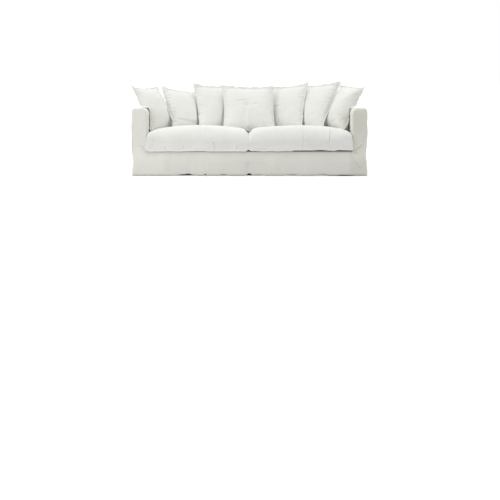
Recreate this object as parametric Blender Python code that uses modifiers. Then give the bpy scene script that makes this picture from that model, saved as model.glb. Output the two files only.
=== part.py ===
"""Loose-fitted linen slipcover set for a three-place sofa: cover panels, two seat cushions, seven pillows.

Metres, +Z up, origin on the floor under the middle of the set, +X to the right of someone facing it, +Y back.
"""
import bpy
import bmesh
import math
import numpy as np

# ------------------------------------------------------------------ named sizes
SIDE = 1.180          # half of the overall body width
FRONT = -0.481        # outer face of the front panel
BACK = 0.509          # outer face of the back
TOP = 0.680           # top of arms and back
ARM = 0.150           # arm width
BACK_T = 0.164        # back thickness
DECK = 0.2450         # top of the deck
CLOTH = 0.002         # cloth thickness
SEAM = 0.0003         # space between neighbouring pieces
FLOOR = 0.0006        # the hem just touches the floor
OUT_X, OUT_Z = 0.032, 0.052     # rounding of the outer top edge, across and down
IN_X, IN_Z = 0.048, 0.074       # rounding of the inner top edge
FALL = 0.020          # how much lower the top is at the back than at the front
LOW = (0.05, 0.11, 0.17, 0.25, 0.36, 0.50)      # section heights outside
HIGH = (0.52, 0.38)                            # and inside
IN = SIDE - ARM       # inner face of the arms
BACK_IN = BACK - BACK_T

# hem: where the lower edge lifts off the floor, and how far it stands in or out there
HEM = [dict(x=-0.635, half=0.085, lift=0.009, out=-0.006),
       dict(x=-0.430, half=0.022, lift=0.008, out=0.006),
       dict(x=-0.262, half=0.036, lift=0.010, out=-0.007),
       dict(x=0.010, half=0.045, lift=0.012, out=-0.010),
       dict(x=0.420, half=0.066, lift=0.008, out=-0.006),
       dict(x=0.755, half=0.065, lift=0.009, out=-0.005)]
# hem round the sides and back, measured along the edge from the front corner
HEM_SIDE = [dict(at=0.16, half=0.07, lift=0.007, out=-0.005),
            dict(at=0.42, half=0.10, lift=0.009, out=0.006),
            dict(at=0.74, half=0.09, lift=0.007, out=-0.006)]
HEM_BACK = [dict(at=-0.86, half=0.10, lift=0.008, out=-0.006),
            dict(at=-0.47, half=0.13, lift=0.007, out=0.006),
            dict(at=0.05, half=0.12, lift=0.010, out=-0.008),
            dict(at=0.55, half=0.14, lift=0.007, out=0.006),
            dict(at=0.90, half=0.08, lift=0.008, out=-0.006)]
# folds of the front panel: ridges stand out (depth > 0), troughs go in
FOLDS = [dict(x0=-1.083, z0=0.282, x1=-1.018, z1=0.232, wide=0.016, depth=-0.012),
         dict(x0=-1.105, z0=0.262, x1=-1.030, z1=0.212, wide=0.020, depth=0.010),
         dict(x0=1.045, z0=0.248, x1=1.110, z1=0.292, wide=0.017, depth=0.011),
         dict(x0=1.008, z0=0.226, x1=1.095, z1=0.078, wide=0.020, depth=0.009),
         dict(x0=1.052, z0=0.222, x1=1.078, z1=0.212, wide=0.012, depth=-0.010),
         dict(x0=-0.845, z0=0.235, x1=-0.835, z1=0.020, wide=0.045, depth=0.006),
         dict(x0=-0.420, z0=0.200, x1=-0.430, z1=0.000, wide=0.030, depth=0.006),
         dict(x0=-0.140, z0=0.210, x1=-0.120, z1=0.000, wide=0.060, depth=0.005),
         dict(x0=0.000, z0=0.230, x1=0.012, z1=0.000, wide=0.028, depth=-0.008),
         dict(x0=0.250, z0=0.200, x1=0.235, z1=0.000, wide=0.055, depth=0.005),
         dict(x0=0.600, z0=0.220, x1=0.590, z1=0.000, wide=0.050, depth=0.005)]
# height bands where the outer sides of the two arm covers stand in or out
SIDE_WAVES = [dict(side=-1, z=0.42, half=0.20, out=0.004),
              dict(side=-1, z=0.13, half=0.09, out=-0.009),
              dict(side=1, z=0.45, half=0.18, out=0.004),
              dict(side=1, z=0.215, half=0.085, out=-0.012),
              dict(side=1, z=0.06, half=0.06, out=0.003)]

# seat cushions
SEAT_FRONT, SEAT_BACK, SEAT_LOW = -0.507, 0.337, 0.2490
DIP = 0.026           # how far the pillows press the seat cushions down
# edge = height at that end, soft and power = how evenly and how late the crown falls towards it
SEATS = [dict(name="seat_cushion_left", x0=-1.0275, x1=-0.0118, lip0=0.026, lip1=0.000, crown=0.497,
              edge0=0.425, soft0=0.60, power0=12, edge1=0.424, soft1=0.45, power1=16),
         dict(name="seat_cushion_right", x0=-0.0105, x1=1.0275, lip0=0.000, lip1=0.016, crown=0.498,
              edge0=0.424, soft0=0.45, power0=16, edge1=0.420, soft1=0.60, power1=12)]
# seat cushion sections from front to back: y, how much of the height and of the lip each one has
SEAT_ROWS = [dict(y=-0.5070, rise=0.10, lip=0.6, inset=0.006),
             dict(y=-0.5030, rise=0.24, lip=0.9, inset=0.002),
             dict(y=-0.4970, rise=0.40, lip=1.0, inset=0.0),
             dict(y=-0.4905, rise=0.55, lip=1.0, inset=0.0),
             dict(y=-0.4840, rise=0.64, lip=0.7, inset=0.0),
             dict(y=-0.4834, rise=0.645, lip=0.0, inset=0.0),
             dict(y=-0.4650, rise=0.79, lip=0.0, inset=0.0),
             dict(y=-0.4350, rise=0.915, lip=0.0, inset=0.0),
             dict(y=-0.3750, rise=1.00, lip=0.0, inset=0.0),
             dict(y=-0.2700, rise=1.00, lip=0.0, inset=0.0),
             dict(y=-0.1900, rise=1.00, lip=0.0, inset=0.0),
             dict(y=-0.1300, rise=1.00, lip=0.0, inset=0.0),
             dict(y=-0.0600, rise=1.00, lip=0.0, inset=0.0),
             dict(y=0.0000, rise=1.00, lip=0.0, inset=0.0),
             dict(y=0.0800, rise=1.00, lip=0.0, inset=0.0),
             dict(y=0.2700, rise=0.97, lip=0.0, inset=0.0),
             dict(y=0.3370, rise=0.78, lip=0.0, inset=0.020)]

# pillows: foot = middle of the lower edge, then size, turn, lean and roll in degrees, and how far each
# corner reaches past the plain rectangle (along the width, along the height); sag = how far the middle of
# the lower edge hangs down, into the dip between the two seat cushions; back = how full the back is beside the front
PILLOWS = [
    dict(name="pillow_1", x=-0.915, y=0.045, z=0.416, w=0.46, h=0.505, t=0.19, back=0.45, yaw=62, lean=24, roll=0,
         tl=(-0.018, 0.012), tr=(0.0, 0.0), bl=(0.0, -0.02), br=(0.0, 0.0), front=("pillow_2",)),
    dict(name="pillow_2", x=-0.590, y=0.075, z=0.440, w=0.47, h=0.448, t=0.15, yaw=31, lean=28, roll=-5,
         tl=(-0.056, 0.040), tr=(0.0, 0.0), bl=(0.0, -0.01), br=(0.0, 0.0), front=("pillow_3",)),
    dict(name="pillow_3", x=-0.310, y=0.105, z=0.440, w=0.46, h=0.506, t=0.15, yaw=23, lean=26, roll=-2,
         tl=(-0.006, 0.010), tr=(0.0, 0.0), bl=(0.0, -0.01), br=(0.0, 0.0), front=("pillow_4",)),
    dict(name="pillow_4", x=-0.004, y=0.000, z=0.437, w=0.55, h=0.492, t=0.16, yaw=0, lean=25, roll=0,
         tl=(-0.018, 0.016), tr=(-0.020, 0.008), bl=(0.0, -0.01), br=(-0.008, -0.01), sag=0.030, front=()),
    dict(name="pillow_5", x=0.330, y=0.105, z=0.440, w=0.46, h=0.498, t=0.15, yaw=-22, lean=26, roll=2,
         tl=(0.0, 0.0), tr=(0.010, 0.032), bl=(0.0, 0.0), br=(0.005, -0.01), front=("pillow_4",)),
    dict(name="pillow_6", x=0.570, y=0.075, z=0.440, w=0.46, h=0.527, t=0.15, yaw=-36, lean=29, roll=2,
         tl=(0.0, 0.0), tr=(0.066, 0.034), bl=(0.0, 0.0), br=(0.0, -0.01), front=("pillow_5",)),
    dict(name="pillow_7", x=0.876, y=0.045, z=0.420, w=0.44, h=0.505, t=0.19, back=0.45, yaw=-65, lean=28, roll=0,
         tl=(-0.020, 0.034), tr=(0.012, 0.010), bl=(0.0, 0.0), br=(0.0, 0.0), front=("pillow_6",)),
]
FLANGE = 0.014        # flat sewn edge round each pillow
PULL = 0.055          # how far the middle of a pillow's side draws in, as a share of its half size
EDGE_T = 0.0032       # thickness of that edge


# ------------------------------------------------------------------ small helpers
def bump(d, half):
    """1 at d = 0, falling softly to 0 at |d| = half."""
    q = np.clip(np.abs(d) / half, 0.0, 1.0)
    return (1 - q * q) ** 2


def above(d, floor, soft):
    """d, held softly at or above floor."""
    e = d - floor
    return floor + np.where(e > soft, e, np.where(e < -soft, 0.0, (e + soft) ** 2 / (4 * soft)))


def hem(at, rows, key):
    return sum(r[key] * bump(at - r["x" if "x" in r else "at"], r["half"]) for r in rows)


def segment_far(x, z, f):
    """Distance from (x, z) to a fold's line, and the share along it."""
    ax, az = f["x1"] - f["x0"], f["z1"] - f["z0"]
    s = np.clip(((x - f["x0"]) * ax + (z - f["z0"]) * az) / (ax * ax + az * az), 0, 1)
    return np.hypot(x - f["x0"] - s * ax, z - f["z0"] - s * az), s


def front_out(x, z):
    """How far the front panel stands out of its plane."""
    out = np.zeros_like(x)
    for f in FOLDS:
        d, _ = segment_far(x, z, f)
        out = out + f["depth"] * np.exp(-(d / f["wide"]) ** 2)
    low = np.clip(1 - z / 0.20, 0, 1) ** 1.5
    out = out + low * hem(x, HEM, "out")
    # the panel lies flat at its sewn edges
    edge = np.clip((SIDE - 0.013 - np.abs(x)) / 0.02, 0, 1)
    top = np.clip((TOP - z) / 0.03, 0, 1)
    ax = np.abs(x)
    far = np.hypot(np.maximum(ax - IN, 0), np.maximum(DECK - z, 0))
    far = np.where(z > DECK, np.abs(ax - IN), far)
    far = np.where((z <= DECK) & (ax <= IN), DECK + 0.001 - z, far)
    seam = np.clip((far - 0.006) / 0.018, 0, 1)
    return np.maximum(out, -0.011) * edge * top * seam


def fallen(y, z):
    """Height z at depth y, with the arms and the back lower towards the back."""
    s = np.clip((y - FRONT) / (BACK - FRONT), 0, 1) * np.clip((z - DECK) / (TOP - DECK), 0, 1)
    return z - FALL * s


def side_out(side, along, z):
    """How far an arm cover's outer side stands out."""
    out = sum(w["out"] * bump(z - w["z"], w["half"]) for w in SIDE_WAVES if w["side"] == side)
    low = np.clip(1 - z / 0.18, 0, 1) ** 1.5
    return out + low * hem(along, HEM_SIDE, "out")


# ------------------------------------------------------------------ making objects
def finish(name, bm, tint, flip=False):
    """Put a bmesh in the collection as a named object with its own cloth material."""
    if flip:
        bmesh.ops.reverse_faces(bm, faces=bm.faces[:])
    me = bpy.data.meshes.new(name)
    bm.to_mesh(me)
    bm.free()
    me.shade_smooth()
    ob = bpy.data.objects.new(name, me)
    GROUP.objects.link(ob)
    mat = bpy.data.materials.new(name + "_cloth")
    mat.use_nodes = True
    bsdf = mat.node_tree.nodes["Principled BSDF"]
    bsdf.inputs["Base Color"].default_value = (*tint, 1.0)
    bsdf.inputs["Roughness"].default_value = 0.92
    me.materials.append(mat)
    return ob


def grid(nx, ny):
    """A flat grid of nx by ny points; index of each point from its place."""
    bm = bmesh.new()
    bmesh.ops.create_grid(bm, x_segments=nx - 1, y_segments=ny - 1, size=1.0)
    place = {v: (round((v.co.x + 1) / 2 * (nx - 1)), round((v.co.y + 1) / 2 * (ny - 1))) for v in bm.verts}
    return bm, place


def sheet(name, points, tint, flip=False, keep=None):
    """One layer of cloth: a grid laid on its points, then given its thickness inwards."""
    bm, place = grid(*points.shape[:2])
    for v, (i, j) in place.items():
        v.co = points[i, j]
    if keep is not None:
        gone = [f for f in bm.faces if not keep(min(place[v][0] for v in f.verts), min(place[v][1] for v in f.verts))]
        bmesh.ops.delete(bm, geom=gone, context="FACES")
    ob = finish(name, bm, tint, flip)
    thick = ob.modifiers.new("thickness", "SOLIDIFY")
    thick.thickness = CLOTH
    thick.offset = -1.0
    return ob


def spaced(a, b, step):
    return np.linspace(a, b, max(2, int(round(abs(b - a) / step)) + 1))


# ------------------------------------------------------------------ strips over arms and back
def wrap_rows(across, high, low_out, low_in):
    """Section of a strip over an arm or the back, from the outer hem over the top to the inside.

    Each row: how far across from the outer face, how high, and 0 outside, 1 on top or 2 inside.
    """
    rows = [(0.0, low_out, 0)] + [(0.0, z, 0) for z in LOW]
    for t in (90, 60, 30, 0):
        a = math.radians(t)
        rows.append((OUT_X * (1 - math.sin(a)), high - OUT_Z * (1 - math.cos(a)), 1))
    for t in (0, 30, 60, 90):
        a = math.radians(t)
        rows.append((across - IN_X * (1 - math.sin(a)), high - IN_Z * (1 - math.cos(a)), 1))
    rows += [(across, z, 2) for z in HIGH] + [(across, low_in, 2)]
    return rows


ROWS = wrap_rows(ARM, TOP, FLOOR, DECK + SEAM)


def arm_cover(side):
    """Points of the strip over one arm, from the front panel's seam to the mitre with the back cover."""
    y0 = FRONT + CLOTH + 3 * SEAM
    stops = np.array([0, .03, .12, .24, .37, .50, .64, .78, .92, 1.0])
    tied = np.sin(np.pi * stops) ** 0.5
    g = np.zeros((len(ROWS), len(stops), 3))
    for i, (a, z, zone) in enumerate(ROWS):
        y1 = BACK - a * BACK_T / ARM - CLOTH - 5 * SEAM
        y = y0 + (y1 - y0) * stops
        x, zz = np.full_like(y, SIDE - a), np.full_like(y, z)
        if zone == 0:
            ends = np.clip(stops / 0.03, 0, 1) * np.clip((1 - stops) / 0.05, 0, 1)
            x = x + side_out(side, y - y0, zz) * ends
            if i == 0:
                zz = zz + hem(y - y0, HEM_SIDE, "lift")
        elif zone == 1:
            zz = zz - 0.003 * tied * (1 + np.sin(9.0 * stops + side)) * (1 if 0.02 < a < 0.12 else 0.4)
        else:
            x = x + 0.002 * tied * (1 + np.sin(7.0 * stops + 6.7 * z)) * np.clip((z - DECK) / 0.1, 0, 1)
        g[i] = np.stack([side * x, y, fallen(y, zz)], -1)
    return g


def back_cover():
    """Points of the strip over the back, mitred to both arm covers."""
    stops = np.array([0, .02, .09, .19, .29, .39, .50, .61, .71, .81, .91, .98, 1.0])
    tied = np.clip(np.minimum(stops, 1 - stops) / 0.06, 0, 1)
    g = np.zeros((len(ROWS), len(stops), 3))
    for i, (a, z, zone) in enumerate(ROWS):
        end = SIDE - a - SEAM
        x = end - 2 * end * stops
        y, zz = np.full_like(x, BACK - a * BACK_T / ARM), np.full_like(x, z)
        if zone == 0:
            low = np.clip(1 - z / 0.18, 0, 1) ** 1.5
            y = y + tied * low * hem(x, HEM_BACK, "out") - tied * 0.006 * bump(z - 0.22, 0.13) * np.cos(2.2 * x)
            if i == 0:
                zz = zz + tied * hem(x, HEM_BACK, "lift")
        elif zone == 1:
            zz = zz - 0.0025 * tied * (1 + np.sin(5.3 * x + 0.7)) * (1 if 0.02 < a < 0.12 else 0.4)
        g[i] = np.stack([x, y, fallen(y, zz)], -1)
    return g


# ------------------------------------------------------------------ front panel
def arm_outline(x):
    """Top edge of an arm front at |x|, the same section as the arm strips."""
    a = SIDE - np.abs(x)
    z = np.full_like(a, TOP)
    o = a < OUT_X
    z[o] = TOP - OUT_Z + OUT_Z * np.sqrt(np.maximum(1 - (1 - a[o] / OUT_X) ** 2, 0))
    b = ARM - a
    n = b < IN_X
    z[n] = TOP - IN_Z + IN_Z * np.sqrt(np.maximum(1 - (1 - b[n] / IN_X) ** 2, 0))
    return z


def front_panel():
    """Points of the U-shaped front, and which squares of the grid are cloth."""
    arm_x = [SIDE - OUT_X * (1 - math.sin(math.radians(t))) for t in (90, 60, 30, 0)] + [SIDE - 0.070]
    arm_x += [IN + IN_X * (1 - math.sin(math.radians(t))) for t in (0, 30, 60, 90)]
    arm_x = np.array(arm_x)                                  # from the outer edge to the inner one
    mid = np.concatenate([spaced(IN - 0.02, 0.90, 0.04), spaced(0.850, -0.850, 0.052),
                          spaced(-0.90, -IN + 0.02, 0.04)])
    xs = np.concatenate([arm_x, mid, -arm_x[::-1]])[::-1]    # left to right
    low = np.array([0, .035, .080, .125, .170, .210, DECK - CLOTH - 3 * SEAM])
    up = np.array([.07, .16, .32, .52, .72, .88, 1.0])
    tops = arm_outline(xs)
    g = np.zeros((len(xs), len(low) + len(up), 3))
    for i, x in enumerate(xs):
        z = np.concatenate([low, low[-1] + (tops[i] - low[-1]) * up])
        z[0] = FLOOR + hem(x, HEM, "lift")
        g[i] = np.stack([np.full_like(z, x), FRONT - front_out(np.full_like(z, x), z), z], -1)
    n, high = len(arm_x), len(low) - 1
    return g, lambda i, j: j < high or i < n - 1 or i >= len(xs) - n


# ------------------------------------------------------------------ seat cushions
def seat_top(s, x, y):
    """Height of a seat cushion's upper face at (x, y)."""
    mid, half = (s["x0"] + s["x1"]) / 2, (s["x1"] - s["x0"]) / 2
    u = np.clip((x - mid) / half, -1, 1)
    edge, soft, power = (np.where(u < 0, s[key + "0"], s[key + "1"]) for key in ("edge", "soft", "power"))
    fall = soft * u ** 2 + (1 - soft) * np.abs(u) ** power
    v = np.clip((y - SEAT_FRONT) / (SEAT_BACK - SEAT_FRONT), 0, 1)
    ends = 0.012 * (1 - np.clip(v / 0.30, 0, 1)) ** 2 + 0.030 * np.clip((v - 0.80) / 0.20, 0, 1) ** 2
    k = np.clip((y + 0.24) / 0.22, 0, 1)
    ends = ends + DIP * k * k * (3 - 2 * k)                 # pressed down where the pillows stand
    return s["crown"] - (s["crown"] - edge) * fall - ends


def seat_cushion(s):
    mid, half = (s["x0"] + s["x1"]) / 2, (s["x1"] - s["x0"]) / 2
    rings = []
    us = np.array([-1, -.97, -.88, -.70, -.40, 0, .40, .70, .88, .97, 1.0])
    for r in SEAT_ROWS:
        x0 = s["x0"] - s["lip0"] * r["lip"] + r["inset"] * 0.3
        x1 = s["x1"] + s["lip1"] * r["lip"] - r["inset"] * 0.3
        if s["lip0"] == 0:
            x0 = s["x0"] + r["inset"] * 0.6
        if s["lip1"] == 0:
            x1 = s["x1"] - r["inset"] * 0.6
        ring = []
        low = SEAT_LOW + r["inset"] * 0.5
        m, h = (x0 + x1) / 2, (x1 - x0) / 2
        tops = seat_top(s, mid + half * us, np.full_like(us, r["y"]))
        tops = low + (tops - low) * r["rise"]
        # over the top, left to right, then down the side and back along the underside
        for u, z in zip(us, tops):
            draw = 1.0 - 0.006 * (abs(u) > 0.99)
            ring.append((m + h * u * draw, r["y"], z - (0.012 * r["rise"] if abs(u) > 0.99 else 0.0)))
        zr, zl = tops[-1], tops[0]
        for share in (0.80, 0.50, 0.22, 0.06):
            ring.append((m + h, r["y"], low + (zr - low) * share))
        ring[-1] = (m + h * (1 - 0.003 / h), r["y"], low + 0.004)
        for u in us[::-1][1:-1]:
            ring.append((m + h * u, r["y"], low))
        for share in (0.06, 0.22, 0.50, 0.80):
            ring.append((m - h, r["y"], low + (zl - low) * share))
        ring[-4] = (m - h * (1 - 0.003 / h), r["y"], low + 0.004)
        rings.append(ring)
    bm = bmesh.new()
    loops = []
    for ring in rings:
        pts = [bm.verts.new(p) for p in ring]
        loops.append([bm.edges.new((a, b)) for a, b in zip(pts, pts[1:] + pts[:1])])
    for one, two in zip(loops, loops[1:]):
        bmesh.ops.bridge_loops(bm, edges=one + two)
    for end in (loops[0], loops[-1]):
        bmesh.ops.triangle_fill(bm, use_beauty=True, edges=end)
    bmesh.ops.recalc_face_normals(bm, faces=bm.faces[:])
    return bm


# ------------------------------------------------------------------ pillows
def axes(p):
    """The pillow's own directions: along its width, up its face, and out of its front."""
    y, l, r = math.radians(p["yaw"]), math.radians(p["lean"]), math.radians(p["roll"])
    wide = np.array([1.0, 0, 0])
    up = np.array([0, math.sin(l), math.cos(l)])
    wide, up = math.cos(r) * wide + math.sin(r) * up, math.cos(r) * up - math.sin(r) * wide
    turn = np.array([[math.cos(y), -math.sin(y), 0], [math.sin(y), math.cos(y), 0], [0, 0, 1]])
    wide, up = turn @ wide, turn @ up
    return wide, up, np.cross(wide, up)


def plan(p, u, v):
    """Place across and up the pillow for u, v in -1..1: drawn-in sides, corners reaching out."""
    a, b = p["w"] / 2, p["h"] / 2
    x = a * u * (1 - PULL * (1 - v * v))
    z = b * v * (1 - PULL * (1 - u * u))
    for key, su, sv in (("tl", -1, 1), ("tr", 1, 1), ("bl", -1, -1), ("br", 1, -1)):
        k = ((1 + su * u) / 2 * (1 + sv * v) / 2) ** 2
        x = x + p[key][0] * k
        z = z + p[key][1] * k
    hang = np.exp((0.012 - np.hypot(x, 0.012)) / 0.075) * ((1 - v) / 2) ** 3
    return x, z - p.get("sag", 0.0) * hang


def half_thick(p, u, v):
    """Half thickness: full in the middle, a flat sewn edge outside."""
    a, b = p["w"] / 2, p["h"] / 2
    uu = np.minimum(1, np.abs(u) / (1 - FLANGE / a))
    vv = np.minimum(1, np.abs(v) / (1 - FLANGE / b))
    body = np.maximum((1 - uu ** 2.2) * (1 - vv ** 2.2), 0) ** 0.55
    return p["t"] / 2 * body * (1 - 0.16 * v) + EDGE_T / 2


def pillow_point(p, u, v, side):
    wide, up, out = axes(p)
    x, z = plan(p, u, v)
    t = side * half_thick(p, u, v)
    if side < 0:                                   # the back of some is pressed flatter than their front
        t = t * (1 - (1 - p.get("back", 1.0)) * (1 - EDGE_T / 2 / np.abs(t)))
    foot = np.array([p["x"], p["y"], p["z"]])
    return foot + x[..., None] * wide + (z + p["h"] / 2)[..., None] * up + t[..., None] * out


def behind(q, p, room):
    """Move points q back until they clear the back of pillow p."""
    wide, up, out = axes(p)
    d = q - (np.array([p["x"], p["y"], p["z"]]) + up * p["h"] / 2)
    x, z, t = d @ wide, d @ up, d @ out
    a, b = p["w"] / 2, p["h"] / 2
    u, v = x / a, z / b
    for _ in range(3):
        cu, cv = np.clip(u, -1, 1), np.clip(v, -1, 1)
        px, pz = plan(p, cu, cv)
        u, v = u + (x - px) / a * (np.abs(u) <= 1.3), v + (z - pz) / b * (np.abs(v) <= 1.3)
        u, v = np.clip(u, -1.6, 1.6), np.clip(v, -1.6, 1.6)
    cu, cv = np.clip(u, -1, 1), np.clip(v, -1, 1)
    past = np.hypot((u - cu) * a, (v - cv) * b)
    limit = -half_thick(p, cu, cv) - room + 1.2 * past
    return q + (-above(-t, -limit, 0.010) - t)[..., None] * out


def clear_corner(q, axis, sign, face, high, room):
    """Push points out of an arm or the back, round its inner top edge (axis 0: an arm, 1: the back)."""
    reach = 0.095
    pivot, pivot_z = face - sign * reach, high - 0.090
    da, dz = sign * (q[..., axis] - pivot), q[..., 2] - pivot_z
    ra, rz = np.maximum(da, 1e-6) / (reach + room), np.maximum(dz, 0) / (0.090 + room)
    rho = (ra ** 5 + rz ** 5) ** 0.2
    inside = da > -0.4
    grow = np.where(inside, above(rho, 1.0, 0.05) / np.maximum(rho, 1e-6), 1.0)
    q = q.copy()
    q[..., axis] = pivot + sign * np.where(da > 0, da * grow, da)
    q[..., 2] = np.where(dz > 0, pivot_z + dz * grow, q[..., 2])
    return q


def settle(p, q):
    """Rest a pillow's points on what is round it."""
    by = {r["name"]: r for r in PILLOWS}
    for other in p["front"]:
        q = behind(q, by[other], 0.015)
    q = clear_corner(q, 0, 1, -IN, TOP, 0.013)
    q = clear_corner(q, 0, -1, IN, TOP, 0.015)
    q = clear_corner(q, 1, -1, BACK_IN, TOP, 0.004)
    top = np.maximum(seat_top(SEATS[0], q[..., 0], q[..., 1]) - 1.0 * (q[..., 0] > SEATS[0]["x1"]),
                     seat_top(SEATS[1], q[..., 0], q[..., 1]) - 1.0 * (q[..., 0] < SEATS[1]["x0"]))
    q[..., 2] = above(q[..., 2] - top, 0.005, 0.012) + top
    return q


def pillow_grids(p, u, v):
    uu, vv = np.meshgrid(u, v, indexing="ij")
    return [settle(p, pillow_point(p, uu, vv, side)) for side in (1, -1)]


def pillow(p):
    a, b = p["w"] / 2, p["h"] / 2
    share = np.array([0.0, .40, .70, .90])
    half_u = np.append(share * (1 - FLANGE / a), [1 - FLANGE / a, 1.0])
    half_v = np.append(share * (1 - FLANGE / b), [1 - FLANGE / b, 1.0])
    u = np.concatenate([-half_u[:0:-1], half_u])
    v = np.concatenate([-half_v[:0:-1], half_v])
    if p["name"] in ("pillow_1", "pillow_7"):      # closer rows where it turns over an arm
        v = np.sort(np.append(v, [-0.26, -0.13, 0.13]))
    if p.get("sag"):                               # and closer columns where it hangs into the dip
        u = np.sort(np.append(u, [-0.20, -0.09, 0.09, 0.20]))
    faces = dict(zip((1, -1), pillow_grids(p, u, v)))
    bm, place = grid(len(u), len(v))
    one = list(bm.verts)
    bmesh.ops.solidify(bm, geom=bm.faces[:], thickness=0.1)
    two = [w for w in bm.verts if w not in place]
    for w in two:                                  # the other layer stands over the same places
        place[w] = (round((w.co.x + 1) / 2 * (len(u) - 1)), round((w.co.y + 1) / 2 * (len(v) - 1)))
    for side, layer in ((1, one), (-1, two)):
        for w in layer:
            w.co = faces[side][place[w]]
    bmesh.ops.recalc_face_normals(bm, faces=bm.faces[:])
    return bm


# ------------------------------------------------------------------ build
def build():
    linen, shade, bright = (0.86, 0.85, 0.82), (0.84, 0.83, 0.79), (0.90, 0.89, 0.86)
    points, keep = front_panel()
    sheet("front_panel", points, linen, keep=keep)
    sheet("arm_cover_left", arm_cover(-1), shade)
    sheet("arm_cover_right", arm_cover(1), shade, flip=True)
    sheet("back_cover", back_cover(), shade, flip=True)

    bm = bmesh.new()
    bmesh.ops.create_cube(bm, size=1.0)
    deck = finish("deck", bm, (0.82, 0.81, 0.77))
    deck.scale = (2 * (IN - 3 * SEAM), BACK_IN - SEAM - FRONT, CLOTH)
    deck.location = (0.0, (FRONT + BACK_IN - SEAM) / 2, DECK - CLOTH / 2)

    for s in SEATS:
        finish(s["name"], seat_cushion(s), bright)
    for p in PILLOWS:
        finish(p["name"], pillow(p), bright)


for ob in list(bpy.data.objects):
    bpy.data.objects.remove(ob, do_unlink=True)
GROUP = bpy.data.collections.new("sofa_slipcover")
bpy.context.scene.collection.children.link(GROUP)
build()
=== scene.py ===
"""Looks of the linen slipcover set: cloth panels, filled cushions and pillows, weave, light and camera."""
import bpy
import bmesh
import math
import random
import time
import numpy as np
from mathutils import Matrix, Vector, noise


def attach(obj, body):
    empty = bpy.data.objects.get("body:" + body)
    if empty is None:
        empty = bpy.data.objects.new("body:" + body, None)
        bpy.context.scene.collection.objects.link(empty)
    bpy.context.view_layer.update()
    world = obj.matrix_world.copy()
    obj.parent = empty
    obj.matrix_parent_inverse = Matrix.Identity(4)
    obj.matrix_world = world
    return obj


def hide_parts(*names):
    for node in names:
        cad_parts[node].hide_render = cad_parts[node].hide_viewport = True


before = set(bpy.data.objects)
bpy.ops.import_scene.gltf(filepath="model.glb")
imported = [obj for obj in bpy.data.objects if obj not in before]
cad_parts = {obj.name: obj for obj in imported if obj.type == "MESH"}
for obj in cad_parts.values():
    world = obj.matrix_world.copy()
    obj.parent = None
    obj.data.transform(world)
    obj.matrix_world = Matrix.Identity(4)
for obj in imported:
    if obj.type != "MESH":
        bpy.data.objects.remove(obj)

T0 = time.time()
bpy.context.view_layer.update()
random.seed(7)

# ------------------------------------------------------------------ named sizes, as in the frame
SIDE, FRONT, BACK, TOP = 1.180, -0.481, 0.509, 0.680
ARM, BACK_T, DECK = 0.150, 0.164, 0.2450
CLOTH, SEAM, FLOOR = 0.002, 0.0003, 0.0006
OUT_X, OUT_Z, IN_X, IN_Z = 0.032, 0.052, 0.048, 0.074
FALL = 0.020
IN, BACK_IN = SIDE - ARM, BACK - BACK_T

HEM = [dict(x=-0.640, half=0.150, lift=0.017, out=-0.005),
       dict(x=-0.610, half=0.035, lift=0.006, out=-0.003),
       dict(x=-0.443, half=0.028, lift=0.017, out=-0.004),
       dict(x=-0.262, half=0.072, lift=0.014, out=-0.005),
       dict(x=-0.005, half=0.040, lift=0.024, out=-0.006),
       dict(x=0.080, half=0.110, lift=0.010, out=-0.004),
       dict(x=0.425, half=0.110, lift=0.012, out=-0.005),
       dict(x=0.750, half=0.120, lift=0.011, out=-0.004),
       dict(x=0.960, half=0.140, lift=0.010, out=-0.004)]
HEM_SIDE = [dict(x=0.16, half=0.07, lift=0.007, out=-0.005),
            dict(x=0.42, half=0.10, lift=0.009, out=0.006),
            dict(x=0.74, half=0.09, lift=0.007, out=-0.006)]
HEM_BACK = [dict(x=-0.86, half=0.10, lift=0.008, out=-0.006),
            dict(x=-0.47, half=0.13, lift=0.007, out=0.006),
            dict(x=0.05, half=0.12, lift=0.010, out=-0.008),
            dict(x=0.55, half=0.14, lift=0.007, out=0.006),
            dict(x=0.90, half=0.08, lift=0.008, out=-0.006)]
FOLDS = [dict(x0=-1.086, z0=0.284, x1=-1.020, z1=0.234, wide=0.009, depth=-0.009),
         dict(x0=-1.100, z0=0.268, x1=-1.030, z1=0.212, wide=0.015, depth=0.007),
         dict(x0=1.048, z0=0.252, x1=1.118, z1=0.316, wide=0.011, depth=0.009),
         dict(x0=1.060, z0=0.244, x1=1.118, z1=0.292, wide=0.010, depth=-0.004),
         dict(x0=1.012, z0=0.236, x1=1.103, z1=0.104, wide=0.014, depth=0.008),
         dict(x0=1.052, z0=0.226, x1=1.078, z1=0.214, wide=0.011, depth=-0.009),
         dict(x0=-0.860, z0=0.235, x1=-0.850, z1=0.020, wide=0.050, depth=0.007),
         dict(x0=-0.790, z0=0.235, x1=-0.800, z1=0.040, wide=0.040, depth=-0.003),
         dict(x0=-0.425, z0=0.080, x1=-0.430, z1=0.000, wide=0.030, depth=0.004),
         dict(x0=-0.140, z0=0.210, x1=-0.120, z1=0.000, wide=0.060, depth=0.004),
         dict(x0=0.000, z0=0.090, x1=0.006, z1=0.000, wide=0.040, depth=-0.005),
         dict(x0=0.250, z0=0.200, x1=0.235, z1=0.000, wide=0.055, depth=0.004),
         dict(x0=0.600, z0=0.220, x1=0.590, z1=0.000, wide=0.050, depth=0.004)]
SIDE_WAVES = [dict(side=-1, z=0.42, half=0.20, out=0.004),
              dict(side=-1, z=0.13, half=0.09, out=-0.009),
              dict(side=1, z=0.45, half=0.18, out=0.004),
              dict(side=1, z=0.215, half=0.085, out=-0.012),
              dict(side=1, z=0.06, half=0.06, out=0.003)]

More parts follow.
